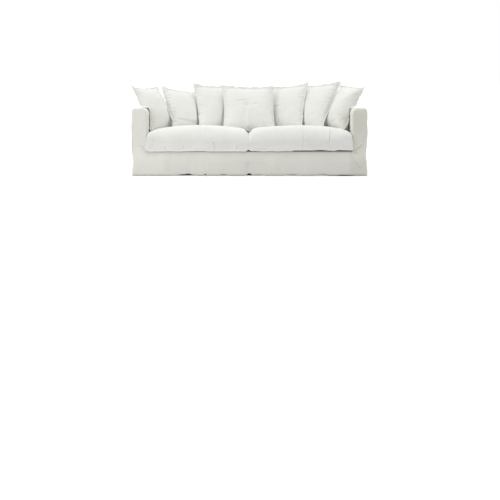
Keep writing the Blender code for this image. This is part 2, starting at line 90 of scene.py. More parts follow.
SEAT_FRONT, SEAT_BACK, SEAT_LOW = -0.507, 0.337, 0.2490
DIP = 0.026           # how far the pillows press the seat cushions down
SEATS = [dict(name="seat_cushion_left", x0=-1.0275, x1=-0.0114, lip0=0.026, lip1=0.000, crown=0.497,
              edge0=0.425, soft0=0.60, power0=12, edge1=0.424, soft1=0.45, power1=16),
         dict(name="seat_cushion_right", x0=-0.0108, x1=1.0275, lip0=0.000, lip1=0.016, crown=0.498,
              edge0=0.424, soft0=0.45, power0=16, edge1=0.420, soft1=0.60, power1=12)]

PILLOWS = [
    dict(name="pillow_1", x=-0.910, y=-0.022, z=0.416, w=0.435, h=0.505, t=0.235, back=0.36, yaw=62, lean=24, roll=0,
         tl=(-0.008, -0.004), tr=(0.026, 0.004), bl=(0.0, -0.02), br=(0.0, 0.0), full=(0.0, 0.044),
         ears=dict(tl=(-0.014, 0.036), bl=(0.040, 0.0)), front=("pillow_2",)),
    dict(name="pillow_2", x=-0.590, y=0.075, z=0.440, w=0.47, h=0.448, t=0.15, yaw=31, lean=28, roll=-5,
         tl=(-0.046, 0.022), tr=(0.0, 0.0), bl=(0.0, -0.01), br=(0.0, 0.0), full=(0.022, 0.0), ears=dict(tl=(-0.008, 0.027)), front=("pillow_3",)),
    dict(name="pillow_3", x=-0.310, y=0.105, z=0.440, w=0.46, h=0.503, t=0.15, back=0.42, yaw=23, lean=26, roll=-2,
         tl=(-0.002, 0.002), tr=(0.0, 0.0), bl=(0.0, -0.01), br=(0.0, 0.0), ears=dict(tl=(-0.005, 0.010)), front=("pillow_4",)),
    dict(name="pillow_4", x=-0.004, y=0.000, z=0.437, w=0.55, h=0.488, t=0.16, yaw=0, lean=25, roll=0,
         tl=(-0.012, 0.010), tr=(-0.020, 0.004), bl=(0.0, -0.01), br=(-0.008, -0.01), sag=0.019,
         ears=dict(tl=(-0.012, 0.010), tr=(0.0, 0.008)), front=()),
    dict(name="pillow_5", x=0.330, y=0.105, z=0.440, w=0.46, h=0.492, t=0.15, back=0.42, yaw=-22, lean=26, roll=2,
         tl=(0.0, 0.0), tr=(0.005, 0.025), bl=(0.0, 0.0), br=(0.005, -0.01), ears=dict(tr=(0.006, 0.010)), front=("pillow_4",)),
    dict(name="pillow_6", x=0.570, y=0.075, z=0.440, w=0.46, h=0.522, t=0.15, yaw=-36, lean=29, roll=2,
         tl=(0.0, 0.0), tr=(0.058, 0.026), bl=(0.0, 0.0), br=(0.0, -0.01), full=(0.0, 0.012), ears=dict(tr=(0.008, 0.010)), front=("pillow_5",)),
    dict(name="pillow_7", x=0.872, y=-0.017, z=0.420, w=0.402, h=0.514, t=0.265, back=0.32, yaw=-65, lean=28, roll=0,
         tl=(-0.104, 0.024), tr=(0.0, -0.006), bl=(-0.038, 0.0), br=(0.016, 0.0), full=(0.046, 0.0), level=0.012,
         ears=dict(tr=(0.012, 0.020), br=(-0.045, 0.004)), front=("pillow_6",)),
]
FLANGE, PULL, EDGE_T = 0.014, 0.055, 0.0032


# ------------------------------------------------------------------ helpers
def bump(d, half):
    q = np.clip(np.abs(d) / half, 0.0, 1.0)
    return (1 - q * q) ** 2


def above(d, floor, soft):
    e = d - floor
    return floor + np.where(e > soft, e, np.where(e < -soft, 0.0, (e + soft) ** 2 / (4 * soft)))


def hem(x, rows, key):
    return sum(r[key] * bump(x - r["x"], r["half"]) for r in rows)


def smooth(a, lo, hi):
    q = np.clip((a - lo) / (hi - lo), 0, 1)
    return q * q * (3 - 2 * q)


def ripple(p, scale, seed, octaves=3):
    """Soft noise, about -1..1, over an array of points."""
    flat = np.asarray(p, float).reshape(-1, 3) * scale + seed * 7.31
    out = np.empty(len(flat))
    for i, q in enumerate(flat):
        out[i] = noise.fractal(Vector(q), 0.9, 2.0, octaves, noise_basis="PERLIN_ORIGINAL")
    return out.reshape(np.asarray(p).shape[:-1])


def mesh_object(name, verts, faces, uvs=None):
    """uvs: one (u, v) in metres per vertex, or per face corner."""
    me = bpy.data.meshes.new(name)
    me.from_pydata([tuple(v) for v in np.asarray(verts, float)], [], [tuple(int(i) for i in f) for f in faces])
    if uvs is not None:
        layer = me.uv_layers.new(name="cloth")
        uvs = np.asarray(uvs, float)
        if len(uvs) == len(verts):
            loops = np.empty(len(me.loops), np.int64)
            me.loops.foreach_get("vertex_index", loops)
            uvs = uvs[loops]
        layer.data.foreach_set("uv", uvs.ravel())
    me.update()
    me.shade_smooth()
    ob = bpy.data.objects.new(name, me)
    bpy.context.scene.collection.objects.link(ob)
    return ob


def grid_faces(m, n, base=0, flip=False, keep=None):
    faces = []
    for i in range(m - 1):
        for j in range(n - 1):
            if keep is not None and not keep(i, j):
                continue
            a, b, c, d = (base + i * n + j, base + (i + 1) * n + j,
                          base + (i + 1) * n + j + 1, base + i * n + j + 1)
            faces.append((a, d, c, b) if flip else (a, b, c, d))
    return faces


def drop_loose(verts, faces, uvs):
    used = sorted({i for f in faces for i in f})
    new = {o: k for k, o in enumerate(used)}
    return np.asarray(verts)[used], [tuple(new[i] for i in f) for f in faces], np.asarray(uvs)[used]


def thicken(ob, t=0.0018):
    m = ob.modifiers.new("thickness", "SOLIDIFY")
    m.thickness, m.offset, m.use_quality_normals = t, -1.0, True
    return m


# ------------------------------------------------------------------ cloth panels
def segment_far(x, z, f):
    ax, az = f["x1"] - f["x0"], f["z1"] - f["z0"]
    s = np.clip(((x - f["x0"]) * ax + (z - f["z0"]) * az) / (ax * ax + az * az), 0, 1)
    return np.hypot(x - f["x0"] - s * ax, z - f["z0"] - s * az), s


def seam_far(x, z):
    """Distance from the front panel's seams with the deck and the arms' inner sides."""
    ax = np.abs(x)
    far = np.hypot(np.maximum(ax - IN, 0), np.maximum(DECK - z, 0))
    far = np.where(z > DECK, np.abs(ax - IN), far)
    return np.where((z <= DECK) & (ax <= IN), DECK + 0.001 - z, far)


def front_out(x, z):
    out = np.zeros_like(x)
    for f in FOLDS:
        d, s = segment_far(x, z, f)
        out = out + f["depth"] * np.exp(-(d / f["wide"]) ** 2)
    low = np.clip(1 - z / 0.20, 0, 1) ** 1.5
    out = out + low * hem(x, HEM, "out")
    pts = np.stack([x, np.zeros_like(x), z * 0.6], -1)
    out = out + 0.0030 * ripple(pts, 3.1, 1) + 0.0012 * ripple(pts, 11.0, 2)
    edge = np.clip((SIDE - 0.006 - np.abs(x)) / 0.02, 0, 1)
    top = np.clip((TOP - z) / 0.03, 0, 1)
    seam = np.clip((seam_far(x, z) - 0.004) / 0.018, 0, 1)
    return np.clip(out, -0.011, 0.011) * edge * top * seam


def fallen(y, z):
    s = np.clip((y - FRONT) / (BACK - FRONT), 0, 1) * np.clip((z - DECK) / (TOP - DECK), 0, 1)
    return z - FALL * s


def arm_outline(x):
    a = SIDE - np.abs(x)
    z = np.full_like(a, TOP)
    o = a < OUT_X
    z[o] = TOP - OUT_Z + OUT_Z * np.sqrt(np.maximum(1 - (1 - a[o] / OUT_X) ** 2, 0))
    b = ARM - a
    n = b < IN_X
    z[n] = TOP - IN_Z + IN_Z * np.sqrt(np.maximum(1 - (1 - b[n] / IN_X) ** 2, 0))
    return z


def roll_radius(side, a):
    """Rounding of an arm front's edge at a metres in from the outer side: small outside, larger on top and inside."""
    a = np.asarray(a, float)
    return 0.010 + (0.008 if side < 0 else 0.016) * smooth(a, 0.0, 0.05) - (0.003 if side < 0 else 0.009) * smooth(a, 0.09, 0.15)


TURN = {-1: 0.007, 1: 0.031}    # how far one edge of each arm front stands back of the other: both face a little to the right


def turned(side, a, z):
    """How far back an arm front stands, a metres in from its outer side."""
    a = np.asarray(a, float)
    share = np.clip(1 - a / 0.132, 0, 1) if side > 0 else np.clip((a - 0.012) / 0.120, 0, 1)
    z = np.asarray(z, float)
    if side < 0:
        return TURN[side] * share * smooth(z, DECK - 0.10, DECK + 0.12)
    low = smooth(z, DECK - 0.11, DECK + 0.04)             # the right one also stands out more towards its top
    return TURN[side] * (share * low * (1 - 0.45 * smooth(z, DECK + 0.05, TOP - 0.05)) + 0.5 * (1 - share) * low * (1 - smooth(z, DECK + 0.05, TOP - 0.05)))


def edge_wave(side, z):
    """The arm's outer side wanders in and out with height, seam and all."""
    out = sum(w["out"] * bump(z - w["z"], w["half"]) for w in SIDE_WAVES if w["side"] == side)
    return out + 0.0022 * np.sin(z * 31.0 + side) * smooth(z, 0.0, 0.06) * smooth(TOP - 0.05 - z, 0.0, 0.06)


ROLLED = 0.006        # how far the very edge of the hem rolls under


def front_panel():
    arc_o = [SIDE - OUT_X * (1 - math.sin(math.radians(t))) for t in np.linspace(90, 0, 12)]
    arc_i = [IN + IN_X * (1 - math.sin(math.radians(t))) for t in np.linspace(0, 90, 16)]
    arm_x = np.array(arc_o + list(np.linspace(arc_o[-1], arc_i[0], 12)[1:-1]) + arc_i)
    step = 0.0068
    mid = np.linspace(IN, -IN, int(2 * IN / step))[1:-1]
    xs = np.concatenate([arm_x, mid, -arm_x[::-1]])[::-1]
    seam_z = DECK - CLOTH - 0.0006
    low = np.concatenate([[0, .0025, .005, .008, .0115, .015], np.linspace(0.0195, seam_z - 0.006, 34), [seam_z]])
    up = np.concatenate([np.linspace(0, 0.93, 46)[1:], [0.945, 0.957, 0.968, 0.978, 0.986, 0.993, 1.0]])
    tops = arm_outline(xs)
    g = np.zeros((len(xs), len(low) + len(up), 3))
    uv = np.zeros(g.shape[:2] + (2,))
    for i, x in enumerate(xs):
        z = np.concatenate([low, low[-1] + (tops[i] - low[-1]) * up])
        lift = FLOOR + hem(x, HEM, "lift")
        z = z + lift * np.clip(1 - z / 0.12, 0, 1)
        g[i, :, 0], g[i, :, 2] = x, z
        uv[i] = np.stack([np.full_like(z, x), z], -1)
    x, z = g[..., 0].copy(), g[..., 2]
    out = front_out(x, z)
    # edge of each arm front: rolls back to meet the arm's strip
    d = np.minimum(SIDE - np.abs(x), arm_outline(x.ravel()).reshape(x.shape) - z)
    inner = np.where(z > DECK, np.abs(x) - IN, 1.0)
    d = np.where(np.abs(x) >= IN - 1e-6, np.minimum(d, np.maximum(inner, 0)), 1.0)
    r = np.where(x < 0, roll_radius(-1, SIDE - np.abs(x)), roll_radius(1, SIDE - np.abs(x)))
    back = r - np.sqrt(np.maximum(r * r - (r - np.minimum(d, r)) ** 2, 0))
    fade = smooth(z, DECK - 0.004, DECK + 0.05) * (np.abs(x) < IN + 0.03) + (np.abs(x) >= IN + 0.03)
    g[..., 1] = FRONT - out + back * fade
    for side in (-1, 1):
        g[..., 1] += turned(side, SIDE - side * x, z)
    # turned hem: double cloth, drawn in a little, its fold rolled under
    g[..., 1] += 0.0055 * np.clip(1 - z / 0.040, 0, 1) ** 1.6 + ROLLED * np.clip(1 - z / 0.016, 0, 1) ** 1.5
    g[..., 1] -= 0.0009 * smooth(0.036 - z, 0, 0.003)
    for side in (-1, 1):
        near = smooth(side * x, SIDE - 0.11, SIDE)
        g[..., 0] += side * near * edge_wave(side, z)
    n, high = len(arm_x), len(low) - 1
    total = len(xs)
    faces = grid_faces(*g.shape[:2], keep=lambda i, j: j < high or i < n - 1 or i >= total - n)
    v, f, u = drop_loose(g.reshape(-1, 3), faces, uv.reshape(-1, 2))
    ob = mesh_object("front_cloth", v, f, u)
    thicken(ob)
    return ob


def strip_rows(across, steps):
    """Fine section of a strip: (across, height, zone, run along the cloth)."""
    rows = [(0.0, z, 0) for z in np.concatenate([[FLOOR, .004, .010], np.arange(0.018, TOP - OUT_Z, steps)])]
    for t in np.linspace(90, 0, 12):
        a = math.radians(t)
        rows.append((OUT_X * (1 - math.sin(a)), TOP - OUT_Z * (1 - math.cos(a)), 1))
    flat = across - OUT_X - IN_X
    for k in np.linspace(0, 1, max(3, int(flat / steps)))[1:-1]:
        rows.append((OUT_X + flat * k, TOP, 1))
    for t in np.linspace(0, 90, 16):
        a = math.radians(t)
        rows.append((across - IN_X * (1 - math.sin(a)), TOP - IN_Z * (1 - math.cos(a)), 1))
    for z in np.arange(TOP - IN_Z - steps, DECK + 0.006, -steps):
        rows.append((across, z, 2))
    rows.append((across, DECK + SEAM, 2))
    return np.array(rows, float)


def side_out(along, z):
    return np.clip(1 - z / 0.18, 0, 1) ** 1.5 * hem(along, HEM_SIDE, "out")


def arm_cloth(side):
    step = 0.0095
    rows = strip_rows(ARM, step)
    n = int(0.99 / step)
    s = np.concatenate([[0, .003, .007, .012], np.linspace(.018, .982, n), [.988, .993, .997, 1.0]])
    g = np.zeros((len(rows), len(s), 3))
    uv = np.zeros(g.shape[:2] + (2,))
    run = np.concatenate([[0], np.cumsum(np.hypot(np.diff(rows[:, 0]), np.diff(rows[:, 1])))])
    for i, (a, z, zone) in enumerate(rows):
        y1 = BACK - a * BACK_T / ARM - CLOTH - 3 * SEAM
        y0 = FRONT + CLOTH + 2 * SEAM + (float(roll_radius(side, a)) - CLOTH) * float(smooth(np.array(z), DECK - 0.004, DECK + 0.05) if zone == 2 else 1) + float(turned(side, a, z))
        y = y0 + (y1 - y0) * s
        x, zz = np.full_like(y, SIDE - a), np.full_like(y, z)
        ends = smooth(y - y0, 0.004, 0.05) * smooth(y1 - y, 0.004, 0.05)
        wob = ripple(np.stack([y * 1.0, np.full_like(y, run[i] * 0.7), np.full_like(y, side * 3.0)], -1), 3.4, 4)
        fine = ripple(np.stack([y, np.full_like(y, run[i]), np.full_like(y, side * 5.0)], -1), 12.0, 5)
        if zone == 0:
            x = x + (side_out(y - y0, zz) + 0.0035 * wob + 0.0010 * fine) * ends + edge_wave(side, zz)
            x = x - 0.0075 * np.clip(1 - z / 0.040, 0, 1) ** 1.6 * ends
            zz = zz + hem(y - y0, HEM_SIDE, "lift") * np.clip(1 - z / 0.12, 0, 1)
            if z < 0.034:
                x = x + 0.0010 * smooth(np.array(0.034 - z), 0, 0.004)
        elif zone == 1:
            mid = smooth(np.array(a), 0.0, 0.03) * smooth(np.array(ARM - a), 0.0, 0.04)
            zz = zz - (0.003 + 0.003 * np.sin(9.0 * s + side)) * mid * ends - 0.0012 * np.abs(fine) * ends * mid
            near = smooth(SIDE - a + 0 * y, SIDE - 0.11, SIDE)
            x = x + 0.0035 * wob * ends * (1 - smooth(np.array(a), 0.0, 0.03)) + near * edge_wave(side, zz)
        else:
            x = x + (0.002 * (1 + np.sin(7.0 * s + 6.7 * z)) + 0.0015 * np.abs(wob)) * ends * smooth(np.array(z - DECK), 0.02, 0.1)
        # the seams with the front and the back are drawn in a little
        draw = 0.0014 * (1 - smooth(y - y0, 0, 0.006)) + 0.0014 * (1 - smooth(y1 - y, 0, 0.006))
        if zone == 0:
            x = x - draw
        elif zone == 1:
            zz = zz - draw
        g[i] = np.stack([side * x, y, fallen(y, zz)], -1)
        uv[i] = np.stack([y, np.full_like(y, run[i])], -1)
    faces = grid_faces(*g.shape[:2], flip=side > 0)
    ob = mesh_object("arm_cloth_" + ("left" if side < 0 else "right"), g.reshape(-1, 3), faces, uv.reshape(-1, 2))
    thicken(ob)
    return ob


def back_cloth():
    step = 0.012
    rows = strip_rows(ARM, step)
    n = int(2.36 / (step * 1.15))
    s = np.concatenate([[0, .0012, .003, .005], np.linspace(.008, .992, n), [.995, .997, .9988, 1.0]])
    g = np.zeros((len(rows), len(s), 3))
    uv = np.zeros(g.shape[:2] + (2,))
    run = np.concatenate([[0], np.cumsum(np.hypot(np.diff(rows[:, 0]), np.diff(rows[:, 1])))])
    for i, (a, z, zone) in enumerate(rows):
        end = SIDE - a - SEAM
        x = end - 2 * end * s
        y, zz = np.full_like(x, BACK - a * BACK_T / ARM), np.full_like(x, z)
        ends = smooth(np.minimum(x + end, end - x), 0.004, 0.09)
        wob = ripple(np.stack([x, np.full_like(x, run[i] * 0.7), np.zeros_like(x)], -1), 2.6, 11)
        fine = ripple(np.stack([x, np.full_like(x, run[i]), np.zeros_like(x)], -1), 11.0, 12)
        if zone == 0:
            low = np.clip(1 - z / 0.18, 0, 1) ** 1.5
            y = y + ends * (low * hem(x, HEM_BACK, "out") - 0.006 * bump(z - 0.22, 0.13) * np.cos(2.2 * x))
            y = y + ends * (0.0030 * wob + 0.0010 * fine) * smooth(np.array(TOP - z), 0.02, 0.1)
            zz = zz + ends * hem(x, HEM_BACK, "lift") * np.clip(1 - z / 0.12, 0, 1)
            if z < 0.034:
                y = y + 0.0010 * smooth(np.array(0.034 - z), 0, 0.004)
        elif zone == 1:
            mid = smooth(np.array(a), 0.0, 0.03) * smooth(np.array(ARM - a), 0.0, 0.04)
            zz = zz - 0.0025 * ends * (1 + np.sin(5.3 * x + 0.7)) * mid - 0.0015 * np.abs(fine) * ends * mid
        else:
            y = y + 0.0025 * np.abs(wob) * ends
        draw = 0.0014 * (1 - smooth(np.minimum(x + end, end - x), 0, 0.006))
        if zone == 0:
            y = y - draw
        elif zone == 1:
            zz = zz - draw
        g[i] = np.stack([x, y, fallen(y, zz)], -1)
        uv[i] = np.stack([x, np.full_like(x, run[i])], -1)
    faces = grid_faces(*g.shape[:2], flip=True)
    ob = mesh_object("back_cloth", g.reshape(-1, 3), faces, uv.reshape(-1, 2))
    thicken(ob)
    return ob


def deck_cloth():
    xs = np.linspace(-IN + 0.001, IN - 0.001, 90)
    ys = np.linspace(FRONT + 0.0003, BACK_IN - 0.0006, 40)
    g = np.zeros((len(xs), len(ys), 3))
    g[..., 0], g[..., 1] = xs[:, None], ys[None, :]
    far = np.minimum(np.minimum(g[..., 0] - xs[0], xs[-1] - g[..., 0]), np.minimum(g[..., 1] - ys[0], ys[-1] - g[..., 1]))
    g[..., 2] = DECK - 0.0012 * np.abs(ripple(g, 4.0, 21)) * smooth(far, 0.0, 0.05)
    ob = mesh_object("deck_cloth", g.reshape(-1, 3), grid_faces(*g.shape[:2]), g[..., :2].reshape(-1, 2))
    thicken(ob)
    return ob


# ------------------------------------------------------------------ seat cushions
def seat_top(s, x, y):
    mid, half = (s["x0"] + s["x1"]) / 2, (s["x1"] - s["x0"]) / 2
    u = np.clip((x - mid) / half, -1, 1)
    edge, soft, power = (np.where(u < 0, s[key + "0"], s[key + "1"]) for key in ("edge", "soft", "power"))
    fall = soft * u ** 2 + (1 - soft) * np.abs(u) ** power
    v = np.clip((y - SEAT_FRONT) / (SEAT_BACK - SEAT_FRONT), 0, 1)
    ends = 0.012 * (1 - np.clip(v / 0.30, 0, 1)) ** 2 + 0.030 * np.clip((v - 0.80) / 0.20, 0, 1) ** 2
    k = np.clip((y + 0.24) / 0.22, 0, 1)
    ends = ends + DIP * k * k * (3 - 2 * k)                 # pressed down where the pillows stand
    return s["crown"] - (s["crown"] - edge) * fall - ends


FLARE, ROLL, FACE = 0.008, 0.105, 0.38     # front face: leans back this far, rolls over this deep, from this share up
END_ROLL, END_FACE = 0.030, 0.72           # squarer at the arms


def seat_section(back, roll, face):
    """Fine closed section in (y, share of the height), from the lower back edge round the front and back."""
    pts = []
    b0, f0, ROLL, FACE = SEAT_BACK, SEAT_FRONT + back, roll, face
    for k in np.linspace(0, 1, 40)[:-1]:                       # underside, back to front
        pts.append((b0 - 0.020 + (f0 + 0.010 - (b0 - 0.020)) * k, 0.0))
    for t in np.linspace(0, 90, 6)[:-1]:                       # lower front edge, under the welt
        a = math.radians(t)
        pts.append((f0 + 0.010 - 0.0085 * math.sin(a), 0.020 * (1 - math.cos(a))))
    pts += [(f0 + 0.0012, 0.024), (f0 - 0.0004, 0.031), (f0 - 0.0006, 0.041), (f0 + 0.0008, 0.050), (f0 + 0.0024, 0.055)]
    for k in np.linspace(0, 1, 20)[:-1]:                       # front face: flares out to the welt below
        pts.append((f0 + 0.0026 + (FLARE - 0.0026) * math.sin(k * math.pi / 2) ** 1.3, 0.060 + (FACE - 0.060) * k))
    for t in np.linspace(0, 90, 34)[:-1]:                      # long soft roll to the top
        a = math.radians(t)
        pts.append((f0 + FLARE + ROLL * (1 - math.cos(a)), FACE + (1 - FACE) * math.sin(a)))
    for k in np.linspace(0, 1, 52)[:-1]:                       # top
        pts.append((f0 + FLARE + ROLL + (b0 - 0.055 - f0 - FLARE - ROLL) * k, 1.0))
    for t in np.linspace(90, 0, 10)[:-1]:
        a = math.radians(t)
        pts.append((b0 - 0.055 * (1 - math.cos(a)), 0.74 + 0.26 * math.sin(a)))
    for k in np.linspace(0, 1, 12)[:-1]:
        pts.append((b0, 0.74 + (0.09 - 0.74) * k))
    for t in np.linspace(0, 90, 5)[:-1]:
        a = math.radians(t)
        pts.append((b0 - 0.020 * (1 - math.cos(a)), 0.09 * (1 - math.sin(a))))
    return np.array(pts)


def stand_back(x):
    """How far a cushion's lower edge stays behind the foremost line; least on the right, where it hangs over."""
    inner = float(smooth(np.array(1.03 - abs(x)), 0.02, 0.16))
    return 0.0105 + inner * (0.006 - 0.006 * float(smooth(np.array(x), 0.30, 0.50)) + 0.0015 * math.sin(9.0 * x))


def seat_lip(s, y, end):
    """How far past its end plane the cushion stands in front of the arm front."""
    g = smooth(-0.4836 - y, 0.0, 0.010) * (1 - 0.75 * smooth(-0.498 - y, 0.0, 0.012))
    return s["lip0" if end < 0 else "lip1"] * g


SEAT_CREASES = [   # on the fronts and crowns: from (x, share) to (x, share), width across, depth
    dict(x0=0.530, s0=1.00, x1=0.520, s1=0.12, wide=0.007, depth=-0.0040),
    dict(x0=0.541, s0=0.98, x1=0.531, s1=0.16, wide=0.0040, depth=0.0048),
    dict(x0=0.808, s0=0.93, x1=0.801, s1=0.45, wide=0.0042, depth=0.0095),
    dict(x0=0.796, s0=0.94, x1=0.789, s1=0.42, wide=0.0075, depth=-0.0042),
    dict(x0=-0.330, s0=0.04, x1=-0.358, s1=0.30, wide=0.009, depth=0.0050),
    dict(x0=-0.350, s0=0.04, x1=-0.378, s1=0.28, wide=0.010, depth=-0.0035),
    dict(x0=-0.340, s0=0.08, x1=-0.358, s1=0.34, wide=0.0045, depth=0.0060),
    dict(x0=-0.840, s0=0.05, x1=-0.846, s1=0.18, wide=0.0045, depth=0.0070),
    dict(x0=-0.870, s0=0.08, x1=-0.880, s1=0.20, wide=0.0050, depth=0.0050),
    dict(x0=-0.662, s0=0.05, x1=-0.656, s1=0.20, wide=0.0045, depth=0.0060),
    dict(x0=-0.132, s0=0.05, x1=-0.122, s1=0.20, wide=0.0045, depth=0.0060),
    dict(x0=-0.146, s0=0.05, x1=-0.136, s1=0.20, wide=0.0070, depth=-0.0030),
    dict(x0=-0.560, s0=0.05, x1=-0.540, s1=0.16, wide=0.009, depth=-0.0026),
    dict(x0=0.180, s0=0.03, x1=0.200, s1=0.20, wide=0.011, depth=0.0032),
    dict(x0=0.640, s0=0.03, x1=0.655, s1=0.16, wide=0.009, depth=0.0034),
    dict(x0=0.945, s0=0.03, x1=0.925, s1=0.35, wide=0.013, depth=0.0035),
    dict(x0=-0.985, s0=0.08, x1=-0.940, s1=0.60, wide=0.020, depth=0.0030),
]


def seat_soft(s, x, y, share):
    """Soft unevenness of a cushion's cover: how far it moves up and back."""
    front = 1 - smooth(y, SEAT_FRONT + 0.02, SEAT_FRONT + 0.12)
    crown = smooth(share, 0.60, 1.0) * smooth(y, SEAT_FRONT + 0.03, SEAT_FRONT + 0.15) * smooth(SEAT_BACK - y, 0.03, 0.12)
    seen = smooth(share, 0.03, 0.12)
    near_end = smooth(np.array(min(x - s["x0"], s["x1"] - x)), 0.0, 0.05)
    pts = np.stack([np.full_like(y, x), y, share * 0.25], -1)
    broad, fine = ripple(pts, 3.6, 31), ripple(pts, 12.0, 32)
    dy = (0.0030 * broad + 0.0011 * fine) * front * seen * near_end
    dz = (0.0040 * broad + 0.0012 * fine) * crown * near_end
    for c in SEAT_CREASES:
        if not s["x0"] < c["x0"] < s["x1"]:
            continue
        ax, az = c["x1"] - c["x0"], (c["s1"] - c["s0"]) * 0.25
        k = np.clip(((x - c["x0"]) * ax + (share - c["s0"]) * 0.25 * az) / (ax * ax + az * az), 0, 1)
        d = np.hypot(x - c["x0"] - k * ax, (share - c["s0"]) * 0.25 - k * az)
        g = np.exp(-(d / c["wide"]) ** 2) * near_end * seen
        dy = dy + c["depth"] * g * front
        dz = dz - c["depth"] * g * crown * (y < -0.25)
    # soft scallops along the lower edge, where the welt wanders
    wave = 0.45 if s["x0"] < -0.5 else 1.0
    dz = dz + wave * 0.0022 * np.sin(x * 21.0 + 0.6 * np.sin(x * 8.0)) * front * (1 - smooth(share, 0.05, 0.35)) * near_end
    dz = dz + wave * (0.0012 + 0.0016 * np.sin(x * 37.0)) * front * (1 - smooth(share, 0.02, 0.20)) * near_end
    return dz, dy


